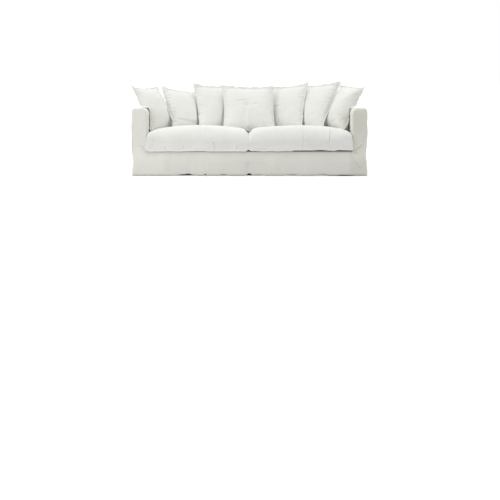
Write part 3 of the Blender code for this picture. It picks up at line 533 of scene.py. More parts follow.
def seat_cushion(s):
    sec = seat_section(0.008, ROLL, FACE)
    mid, half = (s["x0"] + s["x1"]) / 2, (s["x1"] - s["x0"]) / 2
    step = 0.0085
    near = np.array([0, .0015, .004, .008, .013, .020, .029])
    xs = np.concatenate([s["x0"] + near, np.linspace(s["x0"] + .040, s["x1"] - .040, int(0.95 / step)), (s["x1"] - near)[::-1]])
    for c in SEAT_CREASES:                                     # more columns where a crease is sharp
        if c["wide"] < 0.006 and s["x0"] < c["x0"] < s["x1"]:
            lo, hi = min(c["x0"], c["x1"]) - 0.012, max(c["x0"], c["x1"]) + 0.012
            xs = np.sort(np.concatenate([xs[(xs < lo - 0.001) | (xs > hi + 0.001)], np.linspace(lo, hi, int((hi - lo) / 0.0019))]))
    n = len(sec)
    run = np.concatenate([[0], np.cumsum(np.hypot(np.diff(sec[:, 0]), np.diff(sec[:, 1] * 0.24)))])
    rings, uvs = [], []
    yc, zc = (SEAT_FRONT + SEAT_BACK) / 2, 0.45
    for x in xs:
        d = min(x - s["x0"], s["x1"] - x)
        end = -1 if x < mid else 1
        free = s["lip0" if end < 0 else "lip1"] > 0            # an arm's end is free, the other presses on its neighbour
        r = 0.012 if free else 0.003                           # rounding of the end
        inset = r - math.sqrt(max(r * r - (r - min(d, r)) ** 2, 0))
        pull = 0.22 if free else 0.34
        square = 1 - float(smooth(np.array(d), 0.0, 0.17)) if free else 0.0
        sec = seat_section(stand_back(x), ROLL + (END_ROLL - ROLL) * square, FACE + (END_FACE - FACE) * square)
        y = sec[:, 0] + np.sign(yc - sec[:, 0]) * inset * pull * smooth(np.abs(sec[:, 0] - yc), 0.30, 0.42)
        top = seat_top(s, np.full(n, x), y)
        z = SEAT_LOW + (top - SEAT_LOW) * sec[:, 1]
        z = z - inset * (0.7 if free else 1.0) * smooth(sec[:, 1], 0.70, 1.0)
        hang = smooth(FRONT - 0.0035 - y, 0.0, 0.004)          # the front hangs a little lower than the deck
        z = z - 0.0068 * hang * (1 - smooth(sec[:, 1], 0.10, 0.40))
        c, lift = (0.020, 0.011) if free else (0.036, 0.019)   # the lower corners are rounder
        z = z + lift * (1 - min(d, c) / c) ** (2 if free else 1.3) * (1 - smooth(sec[:, 1], 0.0, 0.16)) * (1 - smooth(y, SEAT_FRONT + 0.05, SEAT_FRONT + 0.10))
        tuck = 0.0125 * float(smooth(np.array(x), 0.412, 0.450)) * (1 - 0.40 * float(bump(np.array(x - 0.845), 0.035)))
        z = z + tuck * (1 - smooth(sec[:, 1], 0.0, 0.16)) * (1 - smooth(y, SEAT_FRONT + 0.05, SEAT_FRONT + 0.10))   # held up clear of the deck
        z = z + seat_soft(s, x, y, sec[:, 1])[0]
        y = y + seat_soft(s, x, y, sec[:, 1])[1]
        if free:                                               # a deep pocket beside the arm, behind the crown
            z = z - 0.110 * (1 - float(smooth(np.array(d), 0.0, 0.075))) * smooth(y, -0.345, -0.235) * smooth(sec[:, 1], 0.30, 1.0)
        if not free:                                           # between the cushions the joint opens under the middle pillow
            z = z - 0.085 * (1 - float(smooth(np.array(d), 0.0, 0.036))) * smooth(y, -0.392, -0.335) * smooth(sec[:, 1], 0.80, 1.0)
        close = 1 - smooth(np.array(d), 0.0, 0.05)
        lip = seat_lip(s, y, end) * smooth(z - SEAT_LOW, 0.0, 0.02)
        xx = np.full(n, x) + end * lip * close
        rings.append(np.stack([xx, y, z], -1))
        uvs.append(np.stack([np.full(n, x), run], -1))
    rings, uvs = np.array(rings), np.array(uvs)
    m = len(xs)
    verts = rings.reshape(-1, 3).tolist()
    uvl = uvs.reshape(-1, 2).tolist()
    faces, corner = [], []

    def add(face, uv):
        faces.append(face)
        corner.extend(uv)

    full = run[-1] + 0.01
    for i in range(m - 1):
        for j in range(n):
            k = (j + 1) % n
            f = (i * n + j, i * n + k, (i + 1) * n + k, (i + 1) * n + j)
            vk = full if k == 0 else run[k]
            add(f, [(xs[i], run[j]), (xs[i], vk), (xs[i + 1], vk), (xs[i + 1], run[j])])
    # ends: rings closing on a level line through the middle of the end
    for i, flip in ((0, True), (m - 1, False)):
        prev = list(range(i * n, i * n + n))
        ring = rings[i]
        core = np.stack([ring[:, 0] * 0 + xs[i], np.clip(ring[:, 1], SEAT_FRONT + 0.10, SEAT_BACK - 0.08),
                         np.full(n, SEAT_LOW + 0.085)], -1)
        for share in (0.10, 0.24, 0.42, 0.62, 0.82, 1.0):
            pts = ring * (1 - share) + core * share
            base_x = xs[i] + (-1 if flip else 1) * 0.0008 * math.sin(math.pi * share)
            keep = np.clip(share / 0.35, 0, 1)
            over = (ring[:, 0] - xs[i]) * (1 - keep)
            pts[:, 0] = base_x + np.where(pts[:, 1] < -0.4840, over, np.minimum(np.abs(over), 0) * 0)
            idx = list(range(len(verts), len(verts) + n))
            verts.extend(pts.tolist())
            for j in range(n):
                k = (j + 1) % n
                f = (prev[j], idx[j], idx[k], prev[k]) if not flip else (prev[j], prev[k], idx[k], idx[j])
                add(f, [(verts[q][1], verts[q][2]) for q in f])
            prev = idx
    ob = mesh_object(s["name"].replace("cushion", "pad"), verts, faces, corner)
    bm = bmesh.new()
    bm.from_mesh(ob.data)
    bmesh.ops.remove_doubles(bm, verts=bm.verts[:], dist=1e-6)
    bmesh.ops.recalc_face_normals(bm, faces=bm.faces[:])
    bm.to_mesh(ob.data)
    bm.free()
    ob.data.shade_smooth()
    return ob


# ------------------------------------------------------------------ pillows
def axes(p):
    y, l, r = math.radians(p["yaw"]), math.radians(p["lean"]), math.radians(p["roll"])
    wide = np.array([1.0, 0, 0])
    up = np.array([0, math.sin(l), math.cos(l)])
    wide, up = math.cos(r) * wide + math.sin(r) * up, math.cos(r) * up - math.sin(r) * wide
    turn = np.array([[math.cos(y), -math.sin(y), 0], [math.sin(y), math.cos(y), 0], [0, 0, 1]])
    wide, up = turn @ wide, turn @ up
    return wide, up, np.cross(wide, up)


def plan(p, u, v):
    a, b = p["w"] / 2, p["h"] / 2
    x = a * u * (1 - PULL * (1 - v * v))
    left, right = p.get("full", (0.0, 0.0))                 # a side that stands out fuller in its upper half
    x = x + (right * np.maximum(u, 0) ** 3 - left * np.maximum(-u, 0) ** 3) * (1 - v * v) * smooth(v, -0.50, 0.0)
    z = b * v * (1 - (p.get("level", PULL) if np.ndim(v) == 0 else np.where(v > 0, p.get("level", PULL), PULL)) * (1 - u * u))
    for key, su, sv in (("tl", -1, 1), ("tr", 1, 1), ("bl", -1, -1), ("br", 1, -1)):
        k = ((1 + su * u) / 2 * (1 + sv * v) / 2) ** 2
        ear = p["ears"].get(key, (0.0, 0.0))                # the sewn corner's own small tip
        x = x + p[key][0] * k + ear[0] * k ** 6
        z = z + p[key][1] * k + ear[1] * k ** 6
    hang = np.exp((0.012 - np.hypot(x, 0.012)) / 0.075) * ((1 - v) / 2) ** 3
    return x, z - p.get("sag", 0.0) * hang


def half_thick(p, u, v):
    a, b = p["w"] / 2, p["h"] / 2
    uu = np.minimum(1, np.abs(u) / (1 - FLANGE / a))
    vv = np.minimum(1, np.abs(v) / (1 - FLANGE / b))
    body = np.maximum((1 - uu ** 2.2) * (1 - vv ** 2.2), 0) ** 0.55
    return p["t"] / 2 * body * (1 - 0.16 * v) + EDGE_T / 2


def behind(q, p, room):
    wide, up, out = axes(p)
    d = q - (np.array([p["x"], p["y"], p["z"]]) + up * p["h"] / 2)
    x, z, t = d @ wide, d @ up, d @ out
    a, b = p["w"] / 2, p["h"] / 2
    u, v = x / a, z / b
    for _ in range(3):
        cu, cv = np.clip(u, -1, 1), np.clip(v, -1, 1)
        px, pz = plan(p, cu, cv)
        u, v = u + (x - px) / a * (np.abs(u) <= 1.3), v + (z - pz) / b * (np.abs(v) <= 1.3)
        u, v = np.clip(u, -1.6, 1.6), np.clip(v, -1.6, 1.6)
    cu, cv = np.clip(u, -1, 1), np.clip(v, -1, 1)
    past = np.hypot((u - cu) * a, (v - cv) * b)
    limit = -half_thick(p, cu, cv) - room + 2.0 * past
    return q + (-above(-t, -limit, 0.010) - t)[..., None] * out


def clear_corner(q, axis, sign, face, high, room):
    reach = 0.095
    pivot, pivot_z = face - sign * reach, high - 0.090
    da, dz = sign * (q[..., axis] - pivot), q[..., 2] - pivot_z
    ra, rz = np.maximum(da, 1e-6) / (reach + room), np.maximum(dz, 0) / (0.090 + room)
    rho = (ra ** 5 + rz ** 5) ** 0.2
    grow = np.where(da > -0.4, above(rho, 1.0, 0.05) / np.maximum(rho, 1e-6), 1.0)
    q = q.copy()
    q[..., axis] = pivot + sign * np.where(da > 0, da * grow, da)
    q[..., 2] = np.where(dz > 0, pivot_z + dz * grow, q[..., 2])
    return q


def seats_top(x, y):
    return np.maximum(seat_top(SEATS[0], x, y) - 1.0 * (x > SEATS[0]["x1"]),
                      seat_top(SEATS[1], x, y) - 1.0 * (x < SEATS[1]["x0"]))


def settle(p, q, room=0.0028):
    by = {r["name"]: r for r in PILLOWS}
    for other in p["front"]:
        q = behind(q, by[other], room + 0.004)
    q = clear_corner(q, 0, 1, -IN, TOP, room)
    q = clear_corner(q, 0, -1, IN, TOP, room)
    q = clear_corner(q, 1, -1, BACK_IN, TOP, room)
    top = seats_top(q[..., 0], q[..., 1])
    q[..., 2] = above(q[..., 2] - top, 0.003, 0.010) + top
    return q


def pillow_points(p, u, v, side, seed):
    """Points of one layer before it is filled: plan, fullness, and a sewn edge that is never quite straight."""
    wide, up, out = axes(p)
    a, b = p["w"] / 2, p["h"] / 2
    x, z = plan(p, u, v)
    edge_u, edge_v = (1 - np.abs(u)) * a, (1 - np.abs(v)) * b
    upright = edge_u < edge_v
    along = np.where(upright, z, x)
    which = np.where(upright, np.sign(u), 3 + np.sign(v))
    far = np.minimum(edge_u, edge_v)
    w1 = np.sin(along * 2 * math.pi / 0.083 + which * 2.1 + seed) + 0.7 * np.sin(along * 2 * math.pi / 0.047 + which + seed * 2.3)
    w2 = np.sin(along * 2 * math.pi / 0.128 + which * 1.3 + seed * 1.7) + 0.6 * np.sin(along * 2 * math.pi / 0.058 + which * 2.7)
    at_edge = 1 - smooth(far, 0.0, 0.040)
    full = 1.0 if side > 0 else p.get("back", 1.0) * (1 + 1.1 * smooth(-v, -0.1, 0.7)) * (1 - (0.92 if p["name"] == "pillow_1" else 0.0) * smooth(-v, 0.38, 0.82))    # flatter where it lies on an arm
    t = side * full * (half_thick(p, u, v) - EDGE_T / 2) + at_edge * 0.0026 * w2
    inward = at_edge * np.where(upright, 0.0013, 0.0016) * w1
    x = x - np.sign(u) * inward * upright
    z = z - np.sign(v) * inward * ~upright
    foot = np.array([p["x"], p["y"], p["z"]])
    q = foot + x[..., None] * wide + (z + b)[..., None] * up + t[..., None] * out
    soft = ripple(q, 6.0, seed) * 0.004
    return q + (side * soft * smooth(far, 0.01, 0.08))[..., None] * out


PILLOW_CREASES = dict(   # on the front, in metres across and up from the middle: a trough where depth > 0
    pillow_1=[dict(x0=-0.05, z0=0.10, x1=0.12, z1=0.16, wide=0.022, depth=0.004)],
    pillow_2=[dict(x0=-0.17, z0=-0.140, x1=0.07, z1=-0.172, wide=0.011, depth=0.010),
              dict(x0=-0.16, z0=-0.120, x1=0.05, z1=-0.150, wide=0.013, depth=-0.006),
              dict(x0=0.02, z0=0.12, x1=0.14, z1=0.07, wide=0.020, depth=0.004)],
    pillow_3=[dict(x0=-0.02, z0=-0.13, x1=0.14, z1=-0.12, wide=0.016, depth=0.004)],
    pillow_4=[dict(x0=-0.13, z0=0.055, x1=-0.01, z1=0.060, wide=0.010, depth=0.008),
              dict(x0=-0.050, z0=0.020, x1=-0.005, z1=-0.010, wide=0.011, depth=0.013),
              dict(x0=-0.040, z0=0.028, x1=0.010, z1=0.026, wide=0.010, depth=0.007),
              dict(x0=0.020, z0=0.010, x1=0.075, z1=0.018, wide=0.010, depth=0.006),
              dict(x0=-0.005, z0=-0.030, x1=0.002, z1=-0.200, wide=0.015, depth=-0.008),
              dict(x0=-0.030, z0=-0.050, x1=-0.060, z1=-0.190, wide=0.022, depth=0.005),
              dict(x0=0.035, z0=-0.050, x1=0.080, z1=-0.190, wide=0.024, depth=0.005),
              dict(x0=0.215, z0=-0.150, x1=0.120, z1=-0.165, wide=0.016, depth=-0.004)],
    pillow_5=[dict(x0=-0.09, z0=0.000, x1=-0.03, z1=0.006, wide=0.012, depth=-0.005),
              dict(x0=-0.10, z0=-0.015, x1=-0.02, z1=-0.010, wide=0.013, depth=0.004)],
    pillow_6=[dict(x0=0.04, z0=-0.15, x1=0.13, z1=-0.10, wide=0.014, depth=0.004)],
    pillow_7=[dict(x0=0.05, z0=-0.19, x1=0.14, z1=-0.13, wide=0.014, depth=0.007),
              dict(x0=0.00, z0=-0.20, x1=0.08, z1=-0.17, wide=0.012, depth=0.005),
              dict(x0=-0.02, z0=0.13, x1=0.08, z1=0.10, wide=0.020, depth=0.004)])


def crease(p, q, u, v):
    wide, up, out = axes(p)
    x, z = plan(p, u, v)
    d = np.zeros(u.shape)
    for c in PILLOW_CREASES.get(p["name"], []):
        ax, az = c["x1"] - c["x0"], c["z1"] - c["z0"]
        k = np.clip(((x - c["x0"]) * ax + (z - c["z0"]) * az) / (ax * ax + az * az), 0, 1)
        far = np.hypot(x - c["x0"] - k * ax, z - c["z0"] - k * az)
        d = d + c["depth"] * np.exp(-(far / c["wide"]) ** 2) * (0.35 + 0.65 * np.sin(math.pi * np.clip(k, 0.08, 0.92)))
    return q - d[..., None] * out


NOD = dict(pillow_1=0.002, pillow_2=0.001, pillow_3=0.017, pillow_4=0.015, pillow_5=0.013, pillow_6=0.011, pillow_7=0.011)


SWEEP = dict(pillow_1=(-1, 0.022, 0.034, 0.085), pillow_2=(-1, 0.024, 0.004, 0.030),       # side, how far back, how far in, over this width
             pillow_6=(1, 0.030, 0.006, 0.034), pillow_7=(1, 0.032, 0.052, 0.085))


def sweep(p, q, u, v):
    """The side nearest the arm rolls back, so its flank shows as a narrow shaded band."""
    if p["name"] not in SWEEP:
        return q
    side, deep, narrow, band = SWEEP[p["name"]]
    wide, up, out = axes(p)
    far = (1 - side * u) * p["w"] / 2
    low = smooth(v, -1.0, -0.4) if band > 0.05 else smooth(v, -0.58, -0.12)
    k = (1 - smooth(far, 0.0, band)) * low * (1 - 0.55 * smooth(v, 0.55, 1.0))
    return q - (deep * k)[..., None] * out - (side * narrow * k)[..., None] * wide


def nod(p, q, u, v, seed):
    """The upper sewn edge tips forward, more in some places than in others."""
    wide, up, out = axes(p)
    far = (1 - v) * p["h"] / 2
    x = u * p["w"] / 2
    vary = 0.80 + 0.22 * np.sin(x * 17.0 + seed * 1.9) + 0.14 * np.sin(x * 41.0 + seed)
    return q + (NOD[p["name"]] * vary * (1 - smooth(far, 0.002, 0.036)))[..., None] * out


SINK = dict(pillow_1=0.028, pillow_2=0.030, pillow_3=0.014, pillow_5=0.014, pillow_6=0.026, pillow_7=0.031)
EYE = np.array([0.004, FRONT - 12.0, 1.03])       # where the set is looked at from


def sink(p, q):
    """A pillow sinks back beside the edge of the one that stands in front of it, more towards the foot."""
    by = {r["name"]: r for r in PILLOWS}
    for other in p["front"]:
        o = by[other]
        wide, up, out = axes(o)
        mid = np.array([o["x"], o["y"], o["z"]]) + up * o["h"] / 2
        ray = q - EYE
        hit = EYE + ray * (((mid - EYE) @ out) / (ray @ out))[..., None] - mid
        x, z = hit @ wide, hit @ up
        side = -1 if o["x"] > p["x"] else 1                  # which edge of the other stands over this one
        v = np.clip(z / (o["h"] / 2), -1, 1)
        edge = plan(o, np.full_like(v, side), v)[0]
        past = side * (x - edge)
        near = 0.008 + 0.012 * smooth(-v, -0.2, 1.0)          # the gap opens towards the foot
        d = SINK[p["name"]] * smooth(near + 0.007 - past, 0.0, 0.011) * smooth(past, -0.10, -0.03) * smooth((0.45 if abs(p["yaw"]) < 50 else 1.2) - v, 0.0, 0.7)
        q = q.copy()
        if abs(p["yaw"]) > 50:                               # the two that lean on the arms sink square to their own faces
            q = q - (d * smooth(0.75 - v, 0.0, 0.35))[..., None] * axes(p)[2]
        else:
            q[..., 1] += d
    return q


def puckers(p, q, u, v, seed):
    """Short creases running in from the seams, most of them along the two upright sides."""
    rng = random.Random(100 + seed)
    wide, up, out = axes(p)
    a, b = p["w"] / 2, p["h"] / 2
    x, z = plan(p, u, v)
    total = np.zeros(u.shape)
    for upright, sign, gain in ((True, -1, 1.0), (True, 1, 1.0), (False, -1, 0.35), (False, 1, 0.30)):
        far = ((1 - sign * u) * a if upright else (1 - sign * v) * b) - FLANGE
        along, reach = (z, b) if upright else (x, a)
        s = -reach + rng.uniform(0.02, 0.05)
        while s < reach - 0.02:
            deep, thin, long = rng.uniform(0.0020, 0.0085) * gain, rng.uniform(0.0055, 0.0100), rng.uniform(0.026, 0.070)
            slant, curl = rng.uniform(-0.35, 0.35), rng.uniform(-2.0, 2.0)
            line = s + slant * far + curl * far * far
            run = smooth(far, -0.010, 0.010) * (1 - smooth(far, long * 0.35, long))
            total += deep * np.exp(-((along - line) / (thin * (1 + 6 * np.maximum(far, 0)))) ** 2) * run
            s += rng.uniform(0.020, 0.052)
    return q - total[..., None] * out


def finer(grid):
    """Twice as many squares each way, smoothly in between."""
    for axis in (0, 1):
        g = np.moveaxis(grid, axis, 0)
        n = len(g)
        new = np.empty((2 * n - 1,) + g.shape[1:])
        new[::2] = g
        new[1::2] = (g[:-1] + g[1:]) / 2
        new[3:-3:2] = (9 * (g[1:-2] + g[2:-1]) - (g[:-3] + g[3:])) / 16
        grid = np.moveaxis(new, 0, axis)
    return grid


def fill_pillow(p, front, back, u, v):
    """Blow up the sewn cover as cloth cut larger than its outline, so that its seams pucker; returns both layers."""
    m = front.shape[0]
    a, b = p["w"] / 2, p["h"] / 2
    index = np.full((2, m, m), -1, int)
    verts, flat = [], []
    middle = (front + back) / 2
    for side, layer in enumerate((front, back)):
        for i in range(m):
            for j in range(m):
                ring = min(i, j, m - 1 - i, m - 1 - j)
                if ring <= 2 and side == 1:
                    index[1, i, j] = index[0, i, j]
                    continue
                index[side, i, j] = len(verts)
                verts.append(middle[i, j] if ring <= 2 else layer[i, j])
                flat.append((u[i] * a * CUT, v[j] * b * CUT, 0.0))
    faces = []
    for side in (0, 1):
        for i in range(m - 1):
            for j in range(m - 1):
                hem_face = min(i, j, m - 2 - i, m - 2 - j) < 2
                if hem_face and side == 1:
                    continue
                q = [index[side, i, j], index[side, i + 1, j], index[side, i + 1, j + 1], index[side, i, j + 1]]
                faces.append(q if side == 0 else q[::-1])
    me = bpy.data.meshes.new("filling")
    me.from_pydata([tuple(c) for c in verts], [], faces)
    ob = bpy.data.objects.new("filling", me)
    bpy.context.scene.collection.objects.link(ob)
    ob.shape_key_add(name="Basis")
    cut = ob.shape_key_add(name="cut")
    for k, c in enumerate(flat):
        cut.data[k].co = c
    cut.value = 0.0
    body = ob.vertex_groups.new(name="body")
    inner = [int(index[s, i, j]) for s in (0, 1) for i in range(2, m - 2) for j in range(2, m - 2)]
    body.add(sorted(set(inner)), 1.0, "REPLACE")
    sewn = ob.vertex_groups.new(name="sewn")
    sewn.add([int(index[0, i, j]) for i in range(m) for j in range(m) if min(i, j, m - 1 - i, m - 1 - j) <= 2], HOLD, "REPLACE")
    cl = ob.modifiers.new("fill", "CLOTH")
    st = cl.settings
    st.quality = 7
    st.mass = 0.25
    st.tension_stiffness, st.compression_stiffness, st.shear_stiffness, st.bending_stiffness = 25, 12, 4, 0.05
    st.tension_damping = st.compression_damping = st.shear_damping = 8
    st.bending_damping = 0.6
    st.air_damping = 4.0
    st.effector_weights.gravity = 0.0
    st.use_pressure = True
    st.uniform_pressure_force = PRESSURE
    st.vertex_group_pressure = "body"
    st.rest_shape_key = cut
    st.vertex_group_mass = "sewn"
    st.pin_stiffness = 1.0
    cl.collision_settings.use_collision = False
    cl.collision_settings.use_self_collision = False
    cl.point_cache.frame_start, cl.point_cache.frame_end = 1, 40
    sc = bpy.context.scene
    for f in range(1, STEPS + 1):
        sc.frame_set(f)
    ev = ob.evaluated_get(bpy.context.evaluated_depsgraph_get())
    got = np.empty(len(verts) * 3)
    ev.to_mesh().vertices.foreach_get("co", got)
    got = got.reshape(-1, 3)
    ev.to_mesh_clear()
    bpy.data.objects.remove(ob, do_unlink=True)
    start = np.array(verts)
    move = got - start
    far = np.linalg.norm(move, axis=1, keepdims=True)
    move = move * np.minimum(1, CAP / np.maximum(far, 1e-9))
    got = start + move
    print("  ", p["name"], "moved", round(float(np.median(far)) * 1000, 1), round(float(far.max()) * 1000, 1), "mm")
    return got[index[0]], got[index[1]]


CUT, PRESSURE, STEPS, CAP, HOLD = 1.07, 3.0, 24, 0.030, 1.0


def pillow(p, k):
    a, b = p["w"] / 2, p["h"] / 2
    n = 57
    inner = np.sin(np.linspace(-1, 1, n) * math.pi / 2 * 0.80) / math.sin(math.pi / 2 * 0.80)
    u = np.concatenate([[-1.0, -1 + FLANGE / a * 0.5], inner * (1 - FLANGE / a), [1 - FLANGE / a * 0.5, 1.0]])
    v = np.concatenate([[-1.0, -1 + FLANGE / b * 0.5], inner * (1 - FLANGE / b), [1 - FLANGE / b * 0.5, 1.0]])
    uu, vv = np.meshgrid(u, v, indexing="ij")
    m = len(u)
    front, back = [sweep(p, pillow_points(p, uu, vv, side, k), uu, vv) for side in (1, -1)]
    front, back = fill_pillow(p, front, back, u, v)
    front, back, uv = finer(front), finer(back), finer(np.stack([uu, vv], -1))
    uu, vv = uv[..., 0], uv[..., 1]
    m = len(uu)
    front = nod(p, puckers(p, sink(p, crease(p, front, uu, vv)), uu, vv, k), uu, vv, k)
    back = nod(p, sink(p, back), uu, vv, k)
    # the sewn edge is two layers of cloth, with a row of stitches along its inner side
    wide, up, out = axes(p)
    far = np.minimum((1 - np.abs(uu)) * a, (1 - np.abs(vv)) * b)
    double = (0.0013 * (1 - smooth(far, FLANGE, FLANGE + 0.02)))[..., None] * out
    stitch = (0.0020 * bump(far - FLANGE, 0.006))[..., None] * out
    layers = [settle(p, front + double - stitch), settle(p, back - double + stitch)]
    verts = np.concatenate([l.reshape(-1, 3) for l in layers])
    faces = grid_faces(m, m) + grid_faces(m, m, base=m * m, flip=True)
    ring = ([(i, 0) for i in range(m)] + [(m - 1, j) for j in range(1, m)]
            + [(i, m - 1) for i in range(m - 2, -1, -1)] + [(0, j) for j in range(m - 2, 0, -1)])
    for (i0, j0), (i1, j1) in zip(ring, ring[1:] + ring[:1]):
        c, d = i0 * m + j0, i1 * m + j1
        faces.append((d, c, m * m + c, m * m + d))
    flat = np.stack([uu * a * CUT, vv * b * CUT], -1).reshape(-1, 2)
    return mesh_object(p["name"] + "_cover", verts, faces, np.concatenate([flat, flat + 1.7]))


# ------------------------------------------------------------------ linen
def linen(name, tone, seed, painted_shade=None):
    mat = bpy.data.materials.new(name)
    mat.use_nodes = True
    nt = mat.node_tree
    for nd in list(nt.nodes):
        nt.nodes.remove(nd)
    N, L = nt.nodes.new, nt.links.new
    out = N("ShaderNodeOutputMaterial")
    bsdf = N("ShaderNodeBsdfPrincipled")
    L(bsdf.outputs[0], out.inputs[0])
    bsdf.inputs["Roughness"].default_value = 0.88
    bsdf.inputs["Specular IOR Level"].default_value = 0.28
    bsdf.inputs["Sheen Weight"].default_value = 0.10
    bsdf.inputs["Sheen Roughness"].default_value = 0.6
    uv = N("ShaderNodeUVMap")
    uv.uv_map = "cloth"

    def scaled(sx, sy, sz=1.0):
        mp = N("ShaderNodeMapping")
        mp.inputs["Scale"].default_value = (sx, sy, sz)
        mp.inputs["Location"].default_value = (seed * 3.7, seed * 1.9, seed * 0.3)
        L(uv.outputs[0], mp.inputs["Vector"])
        return mp.outputs[0]

    def tex(vec, detail=3.0, rough=0.6):
        t = N("ShaderNodeTexNoise")
        t.noise_dimensions = "3D"
        t.inputs["Scale"].default_value = 1.0
        t.inputs["Detail"].default_value = detail
        t.inputs["Roughness"].default_value = rough
        L(vec, t.inputs["Vector"])
        return t.outputs["Fac"]

    def math_node(op, a, b=None, c=None):
        m = N("ShaderNodeMath")
        m.operation = op
        for i, v in enumerate((a, b, c)):
            if v is None:
                continue
            if isinstance(v, (int, float)):
                m.inputs[i].default_value = v
            else:
                L(v, m.inputs[i])
        return m.outputs[0]

    # threads, 0.8 mm apart, each a little uneven
    pitch = 1 / 0.0008
    sep = N("ShaderNodeSeparateXYZ")
    L(uv.outputs[0], sep.inputs[0])
    wav = tex(scaled(14, 14), 2.0)
    du = math_node("MULTIPLY_ADD", sep.outputs[0], pitch, math_node("MULTIPLY", wav, 9.0))
    dv = math_node("MULTIPLY_ADD", sep.outputs[1], pitch, math_node("MULTIPLY", wav, -9.0))
    su = math_node("ABSOLUTE", math_node("SINE", math_node("MULTIPLY", du, math.pi)))
    sv = math_node("ABSOLUTE", math_node("SINE", math_node("MULTIPLY", dv, math.pi)))
    iu = math_node("FLOOR", du)
    iv = math_node("FLOOR", dv)
    over = math_node("FLOORED_MODULO", math_node("ADD", iu, iv), 2.0)        # which thread is on top
    hu = math_node("MULTIPLY", su, math_node("MULTIPLY_ADD", over, 0.55, 0.45))
    hv = math_node("MULTIPLY", sv, math_node("MULTIPLY_ADD", math_node("SUBTRACT", 1.0, over), 0.55, 0.45))
    weave = math_node("MAXIMUM", hu, hv)
    # slubs: long thin streaks both ways
    slub_u = tex(scaled(26, 1300), 4.0, 0.7)
    slub_v = tex(scaled(1300, 20), 4.0, 0.7)
    slub = math_node("MAXIMUM", slub_u, slub_v)
    slub_w = tex(scaled(9, 260), 3.0, 0.6)
    slub_x = tex(scaled(260, 8), 3.0, 0.6)
    broad = tex(scaled(5, 5), 4.0, 0.55)
    speck = tex(scaled(420, 420), 1.0, 0.4)

    ramp = N("ShaderNodeValToRGB")
    ramp.color_ramp.elements[0].position = 0.36
    ramp.color_ramp.elements[1].position = 0.74
    light = tuple(c * t for c, t in zip((0.880, 0.878, 0.845), tone))
    dark = tuple(c * t for c, t in zip((0.740, 0.722, 0.650), tone))
    ramp.color_ramp.elements[0].color = (*light, 1)
    ramp.color_ramp.elements[1].color = (*dark, 1)
    mixv = math_node("MULTIPLY_ADD", slub, 0.62, math_node("MULTIPLY", math_node("ADD", slub_w, slub_x), 0.19))
    L(mixv, ramp.inputs[0])
    tint = N("ShaderNodeMix")
    tint.data_type = "RGBA"
    tint.blend_type = "MULTIPLY"
    tint.inputs["Factor"].default_value = 1.0
    r2 = N("ShaderNodeValToRGB")
    r2.color_ramp.elements[0].position, r2.color_ramp.elements[1].position = 0.30, 0.70
    r2.color_ramp.elements[0].color = (0.955, 0.955, 0.950, 1)
    r2.color_ramp.elements[1].color = (1.0, 1.0, 1.0, 1)
    L(broad, r2.inputs[0])
    L(ramp.outputs[0], tint.inputs["A"])
    L(r2.outputs[0], tint.inputs["B"])
    # gaps between threads are darker, and a few dark flecks of straw are spun in
    gap = N("ShaderNodeMix")
    gap.data_type = "RGBA"
    gap.blend_type = "MULTIPLY"
    gap.inputs["Factor"].default_value = 1.0
    r3 = N("ShaderNodeValToRGB")
    r3.color_ramp.elements[0].position, r3.color_ramp.elements[1].position = 0.05, 0.60
    r3.color_ramp.elements[0].color = (0.80, 0.79, 0.76, 1)
    r3.color_ramp.elements[1].color = (1.0, 1.0, 1.0, 1)
    L(weave, r3.inputs[0])
    L(tint.outputs["Result"], gap.inputs["A"])
    L(r3.outputs[0], gap.inputs["B"])
    fleck = N("ShaderNodeMix")
    fleck.data_type = "RGBA"
    fleck.blend_type = "MULTIPLY"
    fleck.inputs["Factor"].default_value = 1.0
    r4 = N("ShaderNodeValToRGB")
    r4.color_ramp.elements[0].position, r4.color_ramp.elements[1].position = 0.165, 0.185
    r4.color_ramp.elements[0].color = (0.62, 0.56, 0.46, 1)
    r4.color_ramp.elements[1].color = (1.0, 1.0, 1.0, 1)
    L(speck, r4.inputs[0])
    L(gap.outputs["Result"], fleck.inputs["A"])
    L(r4.outputs[0], fleck.inputs["B"])
    last = fleck.outputs["Result"]
    if painted_shade:                                              # painted shade: the colour darkens towards one end of the front, standing in for the light falling off there
        place_in = N("ShaderNodeTexCoord")
        apart = N("ShaderNodeSeparateXYZ")
        L(place_in.outputs["Object"], apart.inputs[0])
        rise = N("ShaderNodeMapRange")
        rise.interpolation_type = "SMOOTHSTEP"
        rise.inputs["From Min"].default_value, rise.inputs["From Max"].default_value = painted_shade[0], painted_shade[1]
        L(apart.outputs[0], rise.inputs[0])
        fore = N("ShaderNodeMapRange")                      # on the front only
        fore.interpolation_type = "SMOOTHSTEP"
        fore.inputs["From Min"].default_value, fore.inputs["From Max"].default_value = -0.475, -0.405
        fore.inputs["To Min"].default_value, fore.inputs["To Max"].default_value = 1.0, 0.0
        L(apart.outputs[1], fore.inputs[0])
        shade = N("ShaderNodeMix")
        shade.data_type = "RGBA"
        shade.blend_type = "MULTIPLY"
        shade.inputs["B"].default_value = (*painted_shade[2], 1)
        L(math_node("MULTIPLY", rise.outputs[0], fore.outputs[0]), shade.inputs["Factor"])
        L(last, shade.inputs["A"])
        last = shade.outputs["Result"]
    L(last, bsdf.inputs["Base Color"])
